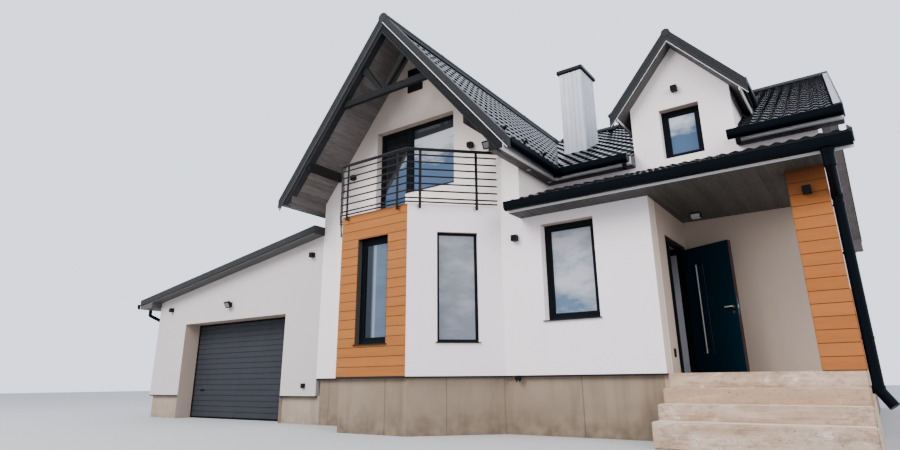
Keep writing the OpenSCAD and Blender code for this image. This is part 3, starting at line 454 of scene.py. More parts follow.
@dataclass(frozen=True)
class Timber:
    """Stained boards whose tone changes from board to board.

    Attributes:
        name: name of the material.
        light: tone of the pale boards.
        dark: tone of the dark boards.
        run: direction of the grain.
        pitch: width of one board.
        across: axis across the boards.
        start: where the first board starts on that axis.
        rough: roughness.
        grain: strength of the fibres.
        spread: difference from board to board.
        shine: specular level.
        painted_shade_heights: heights between which painted shade darkens the boards under a roof.
    """

    name: str
    light: Colour
    dark: Colour
    run: Run
    pitch: float
    across: str = "z"
    start: float = 0.0
    rough: float = 0.5
    grain: float = 0.35
    spread: float = 0.35
    shine: float = 0.12
    painted_shade_heights: tuple[float, float] | None = None

    def make(self) -> bpy.types.Material:
        """Builds the material.

        Returns:
            The material.
        """
        s = Shader(self.name)
        rows = (getattr(s, self.across) - self.start) / self.pitch
        tone = s.cell(rows)
        fibre = s.noise(38.0, 5.0, self.run.value, 0.65)
        ring = s.noise(9.0, 3.0, self.run.value, 0.5)
        share = (fibre.band(0.3, 0.75) * self.grain + ring.band(0.35, 0.7) * 0.25 + (tone - 0.5) * self.spread
                 + 0.15).clamp()
        base = s.mix(share, self.light, self.dark)
        # Painted shade: the boards turn dark toward the top, standing for the shade under a roof.
        if self.painted_shade_heights:
            base = s.mix(s.z.band(*self.painted_shade_heights) * 0.9, base, (0.055, 0.016, 0.006))
        pore = s.noise(120.0, 3.0, self.run.value)
        return s.surface(Base_Color=base, Roughness=(self.rough + 0.15 * fibre).clamp(), Specular_IOR_Level=self.shine,
                         Normal=s.bump(fibre * 0.6 + pore * 0.4, 0.25, 0.0012))


@dataclass(frozen=True)
class Travertine:
    """Cream bedded stone with pits, bands and rusty clouds, with painted light on faces that look up and painted shade
    with dirt at the foot of each riser.
    """

    name: str

    def make(self) -> bpy.types.Material:
        """Builds the material.

        Returns:
            The material.
        """
        s = Shader(self.name)
        bed = s.noise(5.0, 5.0, (0.35, 0.35, 3.2), 0.62)
        cloud = s.noise(1.7, 3.0, (0.8, 0.8, 2.0))
        rust = s.noise(2.4, 4.0, (0.6, 0.6, 2.2), 0.6)
        pit = s.noise(42.0, 4.0, (0.5, 0.5, 1.6), 0.7).band(0.6, 0.68)
        vein = s.noise(13.0, 4.0, (0.3, 0.3, 2.6), 0.65).band(0.6, 0.72)
        base = s.mix(bed.band(0.32, 0.68), (0.50, 0.36, 0.265), (0.33, 0.225, 0.155))
        base = s.mix(cloud.band(0.45, 0.75) * 0.6, base, (0.62, 0.49, 0.40))
        base = s.mix(rust.band(0.54, 0.78) * 0.6, base, (0.38, 0.19, 0.085))
        rise = (s.z - 0.302) / 0.186
        warm = (rise - 1.0).band(0.0, 0.04) * (1.0 - (rise - 2.0).band(-0.04, 0.0))
        base = s.mix(warm * 0.8, base, (0.37, 0.238, 0.15))
        # Painted shade with dirt: darker at the foot of each riser, where it meets the tread.
        foot = (1.0 - rise.math("FRACT").band(0.02, 0.14)) * rise.band(-0.05, 0.0)
        base = s.mix((foot * s.noise(3.0, 3.0).band(0.3, 0.6) * 0.6).clamp(), base, (0.20, 0.13, 0.085))
        base = s.mix((vein * 0.6).clamp(), base, (0.15, 0.10, 0.07))
        chip = s.noise(9.0, 6.0, (0.55, 0.55, 1.1), 0.8)
        worn = s.noise(1.3, 2.0).band(0.36, 0.52) * (1.0 - warm * 0.75)
        base = s.mix((chip.band(0.53, 0.58) * worn * 0.45).clamp(), base, (0.15, 0.105, 0.08))
        base = s.mix(((1.0 - chip.band(0.37, 0.44)) * worn * 0.5).clamp(), base, (0.78, 0.66, 0.58))
        base = s.mix((pit * 0.8).clamp(), base, (0.07, 0.05, 0.038))
        # Painted light: faces that look up are lighter.
        up = s.term(s.node("ShaderNodeSeparateXYZ", inputs={0: s.node("ShaderNodeNewGeometry").outputs["True Normal"]}),
                    2)
        base = s.mix(up.band(0.3, 0.9) * 0.5, base, (0.80, 0.66, 0.56))
        return s.surface(Base_Color=base, Roughness=0.62 + 0.2 * pit, Specular_IOR_Level=0.35,
                         Normal=s.bump(1.0 - pit * 0.8 - vein * 0.3, 0.4, 0.003))


@dataclass(frozen=True)
class SkyGlass:
    """Double glazing with a painted reflection of blue sky under clouds, before a painted dim room.

    Only panes in the front walls have the painted dim room, grey clouds and painted shade. Places are in plan metres.

    Attributes:
        name: name of the material.
        blue: tone of the painted reflection of clear sky.
        cloud: tone of the painted reflection of clouds.
        edge: height at which blue turns to cloud.
        soft: height over which it turns.
        dim_left: X left of which a pane shows the painted dim room.
        dim: tone of the painted dim room.
        grey: X left of which the clouds are grey, and the share of that grey.
        slash: height at which the slanting edge of the painted sky reflection meets dim_left.
        shade: height above which a painted reflection of the eave darkens the pane.
        dark_left: X left of which the painted dim room is nearly black.
    """

    name: str
    blue: Colour
    cloud: Colour
    edge: float
    soft: float
    dim_left: float
    dim: Colour
    grey: tuple[float, float]
    slash: float | None = None
    shade: float | None = None
    dark_left: float | None = None

    def make(self) -> bpy.types.Material:
        """Builds the material.

        Returns:
            The material.
        """
        s = Shader(self.name)
        puff = s.noise(1.5, 6.0, (1.0, 1.0, 2.2), 0.6)
        x = s.x - SHIFT.translation.x - self.dim_left
        front = 1.0 - (s.y - SHIFT.translation.y - 2.0).band(0.0, 0.1)
        grey = front * (1.0 - (x + self.dim_left - self.grey[0]).band(0.0, 0.01))
        # Painted reflection of the sky: blue turning to clouds upward, the clouds greyer on the front.
        base = s.mix(((s.z - grey * 0.24 - self.edge) / self.soft + (puff - 0.5) * 3.4).band(-0.5, 0.5), self.blue,
                     self.cloud)
        dull = tuple(0.45 * c + 0.012 for c in self.cloud)
        base = s.mix(grey * self.grey[1] * (1.25 - puff), base, dull)
        bright = x.band(-0.01, 0.01).math("MAXIMUM", 1.0 - front)
        if self.slash is not None:
            bright = bright.math("MAXIMUM", (1.0 - (s.z - x * 1.35 - self.slash).band(-0.02, 0.02)) * 0.8)
        # Right of dim_left the painted sky reflection shows, and left of it the painted dim room.
        base = s.mix(bright, s.mix(((puff - 0.5) * 2.0 + 0.4).clamp(), self.dim, tuple(c * 0.7 for c in self.dim)),
                     base)
        # Left of dark_left the painted dim room is nearly black, with a painted glint near its edge.
        if self.dark_left is not None:
            inset = s.x - SHIFT.translation.x - self.dark_left
            beside = inset.band(-0.02, 0.02)
            glint = (inset - 0.03).band(-0.02, 0.0) - (inset - 0.075).band(-0.01, 0.01)
            near = front * (1.0 - x.band(-0.01, 0.01))
            base = s.mix(near * (1.0 - beside), base, (0.012, 0.019, 0.028))
            base = s.mix((near * glint * 0.45).clamp(), base, (0.30, 0.32, 0.34))
        # Painted shade: a dark reflection of the eave over the heads of front panes.
        if self.shade is not None:
            base = s.mix((s.z - 0.03 * x - self.shade).band(-0.01, 0.01) * grey * 0.95, base, (0.004, 0.005, 0.006))
        return s.surface(Base_Color=base, Roughness=0.05 + 0.02 * puff, Specular_IOR_Level=0.4,
                         Normal=s.bump(s.noise(1.3, 1.0), 0.03, 0.01))


@dataclass(frozen=True)
class Brushed:
    """Brushed stainless steel with its scratches along the bar."""

    name: str

    def make(self) -> bpy.types.Material:
        """Builds the material.

        Returns:
            The material.
        """
        s = Shader(self.name)
        hair = s.noise(240.0, 3.0, (1.0, 1.0, 0.06), 0.7)
        return s.surface(Base_Color=s.mix(hair, (0.40, 0.39, 0.37), (0.58, 0.57, 0.54)), Metallic=1.0,
                         Roughness=0.24 + 0.16 * hair, Normal=s.bump(hair, 0.08, 0.0004))


class Finishes:
    """All finishes of the house, made once and fetched by name."""

    def __init__(self) -> None:
        """Builds every material."""
        board = 0.1533
        makers = [
            Render("white_render", (0.82, 0.735, 0.755), (0.66, 0.57, 0.56), 0.22, 0.2),
            # gable_render and dormer_render turn darker upward: painted shade under the eaves, with some dirt on the
            # gable.
            Render("gable_render", (0.82, 0.735, 0.71), (0.60, 0.50, 0.42), 0.22, 0.3, 0.0, (4.3, 5.8)),
            Render("dormer_render", (0.82, 0.735, 0.745), (0.66, 0.57, 0.54), 0.22, 0.2, 0.0, (4.7, 7.0)),
            Render("garage_render", (0.53, 0.475, 0.475), (0.42, 0.365, 0.35), 0.22, 0.3),
            # A lighter step of the painted shade, on the porch's side wall near its open front.
            Render("porch_edge_painted_shade", (0.56, 0.47, 0.395), (0.45, 0.36, 0.29), 0.22, 0.3),
            # inner_wall turns darker toward the door head: painted shade.
            Render("inner_wall", (0.52, 0.54, 0.59), (0.40, 0.41, 0.44), 0.22, 0.3, 0.0, (2.0, 2.9)),
            Render("garage_plaster", (0.36, 0.28, 0.215), (0.22, 0.165, 0.12), 0.35, 0.8),
            # A darker copy of the render: painted shade on walls under the porch roof and in the openings' heads.
            Render("porch_render", (0.37, 0.295, 0.24), (0.30, 0.235, 0.185), 0.25, 0.35),
            Render("plinth_plaster", (0.245, 0.185, 0.132), (0.11, 0.083, 0.057), 0.35, 1.05, 1.31),
            Render("concrete", (0.35, 0.34, 0.33), (0.25, 0.24, 0.23), 0.4, 0.4),
            Travertine("travertine"),
            Timber("timber_boards", (0.355, 0.130, 0.036), (0.24, 0.084, 0.020), Run.ALONG_X, board, "z", 0.86, 0.5,
                   0.3, 0.3),
            # pier_boards turn dark toward their top: painted shade under the porch roof.
            Timber("pier_boards", (0.355, 0.122, 0.034), (0.24, 0.08, 0.019), Run.ALONG_X, board, "z", 0.86, 0.5, 0.3,
                   0.3, painted_shade_heights=(2.75, 3.35)),
            Timber("shadow_timber", (0.055, 0.05, 0.04), (0.035, 0.032, 0.027), Run.ALONG_Z, 5.0, "z", 0.86),
            Timber("board_backing", (0.085, 0.03, 0.012), (0.05, 0.02, 0.01), Run.ALONG_X, board, "z", 0.86),
            Timber("soffit_boards", (0.15, 0.135, 0.125), (0.05, 0.046, 0.043), Run.ALONG_Y, 0.1, "x", 0.0, 0.55, 0.5,
                   0.35),
            # A darker copy of the soffit boards: painted shade on the porch ceiling.
            Timber("porch_boards_painted_shade", (0.066, 0.063, 0.058), (0.034, 0.033, 0.031), Run.ALONG_Y, 0.1, "x", 0.0, 0.5, 0.45,
                   0.35),
            Timber("olive_boards", (0.17, 0.168, 0.14), (0.10, 0.099, 0.083), Run.ALONG_X, 0.075, "y", 0.0, 0.55, 0.4,
                   0.35),
            # A darker copy of the soffit boards: painted shade under the dormer's eaves.
            Timber("dormer_soffit_painted_shade", (0.095, 0.09, 0.085), (0.04, 0.038, 0.036), Run.ALONG_X, 5.0, "x", 0.0, 0.55, 0.5),
            Timber("dark_timber", (0.015, 0.0145, 0.014), (0.006, 0.006, 0.0064), Run.ALONG_X, 5.0, "x", 0.0, 0.6, 0.7),
            Timber("door_edge", (0.055, 0.019, 0.013), (0.03, 0.012, 0.009), Run.ALONG_Z, 5.0, "x", 0.0, 0.45, 0.6),
            Paint("pale_soffit", (0.076, 0.072, 0.067), 0.5, shine=0.13),
            Paint("metal_tiles", (0.003, 0.0035, 0.0045), 0.15, dust=0.0, shine=0.27),
            Paint("flashing", (0.019, 0.0195, 0.020), 0.45, stipple=0.5, dust=0.15, shine=0.09),
            Paint("bright_trim", (0.62, 0.62, 0.63), 0.35),
            Paint("pale_brass", (0.75, 0.74, 0.56), 0.3, dust=0.0),
            Paint("grey_trim", (0.055, 0.056, 0.058), 0.4, shine=0.2),
            Paint("pale_trim", (0.26, 0.265, 0.275), 0.4),
            Paint("dark_trim", (0.010, 0.0105, 0.012), 0.4, shine=0.2),
            Paint("white_trim", (0.66, 0.65, 0.66), 0.4, dust=0.25),
            Paint("gutter_metal", (0.0014, 0.0028, 0.0044), 0.3, shine=0.055, dust=0.0),
            Paint("chimney_panels", (0.56, 0.57, 0.63), 0.45, dust=0.3, streak=0.35),
            Paint("railing_metal", (0.009, 0.0076, 0.0072), 0.4, shine=0.18),
            Paint("frame_grey", (0.0038, 0.005, 0.0068), 0.45, dust=0.1, shine=0.075),
            Paint("gasket", (0.002, 0.002, 0.0022), 0.7, shine=0.1),
            Paint("garage_door_grey", (0.024, 0.0255, 0.031), 0.5, stipple=0.25, dust=0.3, shine=0.2, streak=0.2),
            Paint("door_navy", (0.0016, 0.0165, 0.029), 0.4, dust=0.05, shine=0.04),
            Paint("lamp_black", (0.004, 0.004, 0.0045), 0.5, shine=0.15),
            Paint("lamp_glass", (0.16, 0.165, 0.16), 0.2, dust=0.3),
            Paint("lamp_white", (0.42, 0.43, 0.42), 0.3, dust=0.1),
            Paint("frosted_glass", (0.26, 0.31, 0.38), 0.5, dust=0.2, shine=0.02),
            # Both glasses carry a painted reflection of sky and clouds over a painted dim room.
            SkyGlass("lower_glass", (0.085, 0.135, 0.20), (0.39, 0.395, 0.43), 2.1, 2.6, -0.38, (0.09, 0.13, 0.185),
                     (1.6, 0.85), dark_left=-0.845),
            SkyGlass("upper_glass", (0.05, 0.09, 0.165), (0.46, 0.48, 0.52), 4.86, 0.4, -0.985, (0.010, 0.012, 0.014),
                     (1.0, 0.0), 5.3, 5.43),
            Brushed("stainless"),
        ]
        self.known = {m.name: m.make() for m in makers}

    def get(self, name: str) -> bpy.types.Material:
        """The material of that name."""
        return self.known[name]


# Meshes


def show(obj: bpy.types.Object) -> None:
    """Puts an object into the scene."""
    bpy.context.scene.collection.objects.link(obj)


class Shape:
    """A mesh that grows in plan metres and is finished as one piece."""

    def __init__(self) -> None:
        """Starts empty."""
        self.bm = bmesh.new()

    def take(self, other: bmesh.types.BMesh, matrix: Matrix | None = None) -> "Shape":
        """Adds another mesh, which is freed.

        Args:
            other: the mesh to add.
            matrix: its place.
        Returns:
            This shape.
        """
        if matrix is not None:
            other.transform(matrix)
        mesh = bpy.data.meshes.new("part")
        other.to_mesh(mesh)
        other.free()
        self.bm.from_mesh(mesh)
        bpy.data.meshes.remove(mesh)
        return self

    def box(self, a: Point, b: Point, bevel: float = 0.0, matrix: Matrix | None = None) -> "Shape":
        """Adds a box between two corners.

        Args:
            a: one corner.
            b: the opposite corner.
            bevel: width of its bevelled edges.
            matrix: a place for it.
        Returns:
            This shape.
        """
        bm = bmesh.new()
        size = [abs(q - p) for p, q in zip(a, b)]
        bmesh.ops.create_cube(bm, size=1.0,
                              matrix=Matrix.Translation([(p + q) / 2 for p, q in zip(a, b)])
                              @ Matrix.Diagonal((*size, 1.0)))
        if bevel > 0:
            bmesh.ops.bevel(bm, geom=bm.edges[:], offset=min(bevel, min(size) * 0.45), segments=2, affect="EDGES",
                            clamp_overlap=True)
        return self.take(bm, matrix)

    def prism(self, outline: Sequence[Point], lift: Point, bevel: float = 0.0) -> "Shape":
        """Adds a flat outline drawn out along a vector.

        Args:
            outline: corners in space, in order.
            lift: the vector.
            bevel: width of its bevelled edges.
        Returns:
            This shape.
        """
        bm = bmesh.new()
        face = bm.faces.new([bm.verts.new(p) for p in outline])
        made = bmesh.ops.extrude_face_region(bm, geom=[face])
        bmesh.ops.translate(bm, vec=Vector(lift), verts=[v for v in made["geom"] if isinstance(v, bmesh.types.BMVert)])
        bmesh.ops.recalc_face_normals(bm, faces=bm.faces[:])
        if bevel > 0:
            bmesh.ops.bevel(bm, geom=bm.edges[:], offset=bevel, segments=2, affect="EDGES", clamp_overlap=True)
        return self.take(bm)

    def rod(self, a: Point, b: Point, radius: float, sides: int = 16, top: float | None = None) -> "Shape":
        """Adds a round bar from a to b.

        Args:
            a: one end.
            b: the other end.
            radius: radius at a.
            sides: number of sides.
            top: radius at b, if another.
        Returns:
            This shape.
        """
        bm = bmesh.new()
        p, q = Vector(a), Vector(b)
        bmesh.ops.create_cone(bm, cap_ends=True, segments=sides, radius1=radius, radius2=radius if top is None else top,
                              depth=(q - p).length)
        turn = (q - p).to_track_quat("Z", "Y").to_matrix().to_4x4()
        return self.take(bm, Matrix.Translation((p + q) / 2) @ turn)

    def ring(self, place: Matrix, w: float, h: float, width: float, front: float, back: float,
             bevel: float = 0.003) -> "Shape":
        """Adds a frame of four mitred bars that lies in local X-Z.

        Args:
            place: local X to the right, Y into the wall, Z up.
            w: outer width.
            h: outer height.
            width: width of the bars.
            front: local Y of the front.
            back: local Y of the back.
            bevel: width of the bevel on the front edges.
        Returns:
            This shape.
        """
        outer = [(0, 0), (w, 0), (w, h), (0, h)]
        inner = [(width, width), (w - width, width), (w - width, h - width), (width, h - width)]
        bm = bmesh.new()
        rows = []
        for line, ys in ((outer, (back, front + bevel)), (inner, (front, back))):
            for y in ys:
                rows.append([(x, y, z) for x, z in line])
        lip = [(x + (bevel if x < w / 2 else -bevel), front, z + (bevel if z < h / 2 else -bevel)) for x, z in outer]
        loops = [rows[0], rows[1], lip, rows[2], rows[3]]
        verts = [[bm.verts.new(p) for p in loop] for loop in loops]
        for k, loop in enumerate(verts):
            after = verts[(k + 1) % len(verts)]
            for i in range(4):
                j = (i + 1) % 4
                bm.faces.new([loop[i], loop[j], after[j], after[i]])
        bmesh.ops.recalc_face_normals(bm, faces=bm.faces[:])
        return self.take(bm, place)

    def cut(self, point: Point, normal: Point) -> "Shape":
        """Cuts away what lies on the far side of a plane.

        Args:
            point: a point on the plane.
            normal: vector to the side that goes.
        Returns:
            This shape.
        """
        bmesh.ops.bisect_plane(self.bm, geom=self.bm.verts[:] + self.bm.edges[:] + self.bm.faces[:], dist=1e-6,
                               plane_co=Vector(point), plane_no=Vector(normal), clear_outer=True)
        return self

    def mesh(self) -> bpy.types.Mesh:
        """Ends the shape.

        Returns:
            Its plain mesh data.
        """
        made = bpy.data.meshes.new("part")
        self.bm.to_mesh(made)
        self.bm.free()
        return made

    def finish(self, name: str, material: bpy.types.Material, slot: str, body: str = HOUSE,
               replaces: Sequence[str] = (), smooth: float = 0.0) -> bpy.types.Object:
        """Makes the shape a piece of the house, in the frame of the solids.

        Args:
            name: name of the piece.
            material: its finish.
            slot: a slot name for that finish; not used.
            body: the body that it rides on.
            replaces: solids that it stands for.
            smooth: greatest angle in degrees that is shaded smooth.
        Returns:
            The piece.
        """
        self.bm.transform(SHIFT)
        triangles = sum(len(f.verts) - 2 for f in self.bm.faces)
        obj = bpy.data.objects.new(name, self.mesh())
        show(obj)
        obj.data.materials.clear()
        obj.data.materials.append(material)
        for polygon in obj.data.polygons:
            polygon.material_index = 0
        if smooth:
            obj.data.shade_smooth()
            obj.data.set_sharp_from_angle(angle=math.radians(smooth))
        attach(obj, body)
        if replaces:
            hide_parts(*replaces)
        LOG.info("%s: %d triangles on %s", name, triangles, body)
        return obj


class Growth(Graph):
    """A Geometry Nodes tree with named inputs, run on a mesh."""

    def __init__(self, name: str) -> None:
        """Starts a tree with its geometry in and out.

        Args:
            name: name of the tree.
        """
        super().__init__(bpy.data.node_groups.new(name, "GeometryNodeTree"))
        face = self.tree.interface
        face.new_socket("Geometry", in_out="OUTPUT", socket_type="NodeSocketGeometry")
        face.new_socket("Geometry", in_out="INPUT", socket_type="NodeSocketGeometry")
        self.entry = self.tree.nodes.new("NodeGroupInput")
        self.keys: dict[str, str] = {}

    def size(self, name: str, kind: str = "NodeSocketFloat") -> Term:
        """Adds a named input.

        Args:
            name: its name.
            kind: its socket type.
        Returns:
            The input as a term.
        """
        made = self.tree.interface.new_socket(name, in_out="INPUT", socket_type=kind)
        self.keys[name] = made.identifier
        return Term(self.tree, self.entry.outputs[name])

    def close(self, geometry: bpy.types.NodeSocket) -> "Growth":
        """Ends the tree with its realized, merged and dressed geometry.

        Args:
            geometry: what the tree has made.
        Returns:
            This tree.
        """
        finish = self.size("Finish", "NodeSocketMaterial")
        real = self.node("GeometryNodeRealizeInstances", inputs={0: geometry})
        merged = self.node("GeometryNodeMergeByDistance", inputs={"Geometry": real.outputs[0], "Distance": 0.0002})
        dressed = self.node("GeometryNodeSetMaterial", inputs={"Geometry": merged.outputs[0], "Material": finish})
        self.node("NodeGroupOutput", inputs={0: dressed.outputs[0]})
        return self

    def run(self, values: dict[str, Any], seed: Shape | None = None) -> Shape:
        """Runs the tree.

        Args:
            values: a value for each named input.
            seed: the mesh that it works on.
        Returns:
            The result as a shape.
        """
        mesh = seed.mesh() if seed else bpy.data.meshes.new("seed")
        obj = bpy.data.objects.new("seed", mesh)
        show(obj)
        modifier = obj.modifiers.new("grow", "NODES")
        modifier.node_group = self.tree
        for name, value in values.items():
            modifier[self.keys[name]] = value
        graph = bpy.context.evaluated_depsgraph_get()
        result = bpy.data.meshes.new_from_object(obj.evaluated_get(graph), depsgraph=graph)
        obj.modifiers.remove(modifier)
        bpy.data.objects.remove(obj)
        shape = Shape()
        shape.bm.from_mesh(result)
        bpy.data.meshes.remove(result)
        return shape


class Patterns:
    """The trees that repeat boards, tiles and rails."""

    def __init__(self, finishes: Finishes) -> None:
        """Builds the trees.

        Args:
            finishes: the finishes, for the trees' material inputs.
        """
        self.finishes = finishes
        self.row_tree = self._row()
        self.tile_tree = self._tiles()
        self.rail_tree = self._rails()

    def _row(self) -> Growth:
        """A row of one given piece.

        Returns:
            The tree.
        """
        g = Growth("row_of_pieces")
        count, step = g.size("Count", "NodeSocketInt"), g.size("Step", "NodeSocketVector")
        line = g.node("GeometryNodeMeshLine", {"mode": "OFFSET"}, {"Count": count, "Offset": step})
        spread = g.node("GeometryNodeInstanceOnPoints",
                        inputs={"Points": line.outputs[0], "Instance": g.entry.outputs["Geometry"]})
        return g.close(spread.outputs[0])

    def _tiles(self) -> Growth:
        """Courses of pressed metal tiles: X along the eave, Y up the slope.

        Returns:
            The tree.
        """
        g = Growth("tile_courses")
        columns, rows = g.size("Columns", "NodeSocketInt"), g.size("Rows", "NodeSocketInt")
        wave, course = g.size("Wave"), g.size("Course")
        crest, step = g.size("Crest"), g.size("Step")
        sheet = g.node("GeometryNodeMeshGrid", inputs={"Size X": wave, "Size Y": 1.0, "Vertices X": 9, "Vertices Y": 3})
        split = g.node("ShaderNodeSeparateXYZ", inputs={0: g.node("GeometryNodeInputPosition").outputs[0]})
        x, t = g.term(split, 0), g.term(split, 1) + 0.5
        twice = t * 2.0
        rise = 1.0 - (twice - 1.0).math("ABSOLUTE")
        along = twice.math("MINIMUM", 1.0) * 0.004 + (course - 0.004) * (twice - 1.0).math("MAXIMUM", 0.0)
        swell = ((x / wave * (2.0 * math.pi)).math("COSINE") * 0.5 + 0.5) ** 1.15
        place = g.node("ShaderNodeCombineXYZ", inputs={0: x + wave * 0.5, 1: along, 2: swell * crest + step * rise})
        tile = g.node("GeometryNodeSetPosition", inputs={"Geometry": sheet.outputs[0], "Position": place.outputs[0]})
        across = g.node("ShaderNodeCombineXYZ", inputs={0: wave})
        upward = g.node("ShaderNodeCombineXYZ", inputs={1: course})
        line = g.node("GeometryNodeMeshLine", {"mode": "OFFSET"}, {"Count": columns, "Offset": across.outputs[0]})
        band = g.node("GeometryNodeInstanceOnPoints", inputs={"Points": line.outputs[0], "Instance": tile.outputs[0]})
        stack = g.node("GeometryNodeMeshLine", {"mode": "OFFSET"}, {"Count": rows, "Offset": upward.outputs[0]})
        covered = g.node("GeometryNodeInstanceOnPoints",
                         inputs={"Points": stack.outputs[0], "Instance": band.outputs[0]})
        return g.close(covered.outputs[0])

    def _rails(self) -> Growth:
        """Round rails that follow a line of points, one over the other.

        Returns:
            The tree.
        """
        g = Growth("rails_on_a_path")
        count, pitch = g.size("Count", "NodeSocketInt"), g.size("Pitch")
        radius, bend = g.size("Radius"), g.size("Bend")
        path = g.node("GeometryNodeMeshToCurve", inputs={0: g.entry.outputs["Geometry"]})
        soft = g.node("GeometryNodeFilletCurve", {"mode": "POLY"},
                      {"Curve": path.outputs[0], "Count": 5, "Radius": bend})
        rim = g.node("GeometryNodeCurvePrimitiveCircle", inputs={"Resolution": 12, "Radius": radius})
        tube = g.node("GeometryNodeCurveToMesh",
                      inputs={"Curve": soft.outputs[0], "Profile Curve": rim.outputs[0], "Fill Caps": True})
        up = g.node("ShaderNodeCombineXYZ", inputs={2: pitch})
        line = g.node("GeometryNodeMeshLine", {"mode": "OFFSET"}, {"Count": count, "Offset": up.outputs[0]})
        spread = g.node("GeometryNodeInstanceOnPoints", inputs={"Points": line.outputs[0], "Instance": tube.outputs[0]})
        return g.close(spread.outputs[0])

    def row(self, piece: Shape, count: int, step: Point, finish: str) -> Shape:
        """Repeats a piece in a row.

        Args:
            piece: the piece.
            count: how many.
            step: vector from one to the next.
            finish: name of the finish.
        Returns:
            The row.
        """
        return self.row_tree.run({"Count": count, "Step": tuple(step), "Finish": self.finishes.get(finish)}, piece)

    def rails(self, points: Sequence[Point], radius: float, bend: float, count: int, pitch: float,
              finish: str) -> Shape:
        """Lays rails along points.

        Args:
            points: the corners of the path.
            radius: radius of a rail.
            bend: radius of its bends.
            count: how many, one over the other.
            pitch: height from one to the next.
            finish: name of the finish.
        Returns:
            The rails.
        """
        path = Shape()
        verts = [path.bm.verts.new(p) for p in points]
        for a, b in zip(verts, verts[1:]):
            path.bm.edges.new((a, b))
        made = self.rail_tree.run({"Count": count, "Pitch": pitch, "Radius": radius, "Bend": bend,
                                   "Finish": self.finishes.get(finish)}, path)
        bmesh.ops.recalc_face_normals(made.bm, faces=made.bm.faces[:])
        return made


@dataclass
class Workshop:
    """What every sub-assembly needs to build its pieces."""

    finishes: Finishes
    patterns: Patterns
    pieces: list[str] = field(default_factory=list)

    def add(self, shape: Shape, name: str, finish: str, slot: str | None = None, **rest: Any) -> bpy.types.Object:
        """Finishes a shape with a named finish.

        Args:
            shape: the shape.
            name: name of the piece.
            finish: name of the finish.
            slot: a slot name passed on to Shape.finish, if not the finish's own name.
            rest: further arguments of Shape.finish.
        Returns:
            The piece.
        """
        self.pieces.append(name)
        return shape.finish(name, self.finishes.get(finish), slot or finish, **rest)

    def dress(self, node: str, finish: str) -> None:
        """Gives a carried solid its finish.

        Args:
            node: the solid.
            finish: name of the finish.
        """
        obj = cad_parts[node]
        obj.data.materials.clear()
        obj.data.materials.append(self.finishes.get(finish))
        LOG.info("%s: solid dressed with %s", node, finish)


# Roofs


@dataclass
class Slope:
    """One slope of a roof, in its own axes U along the eave and V up the roof."""

    origin: Vector
    along: Vector
    rise: Vector
    fields: list[list[tuple[float, float]]]


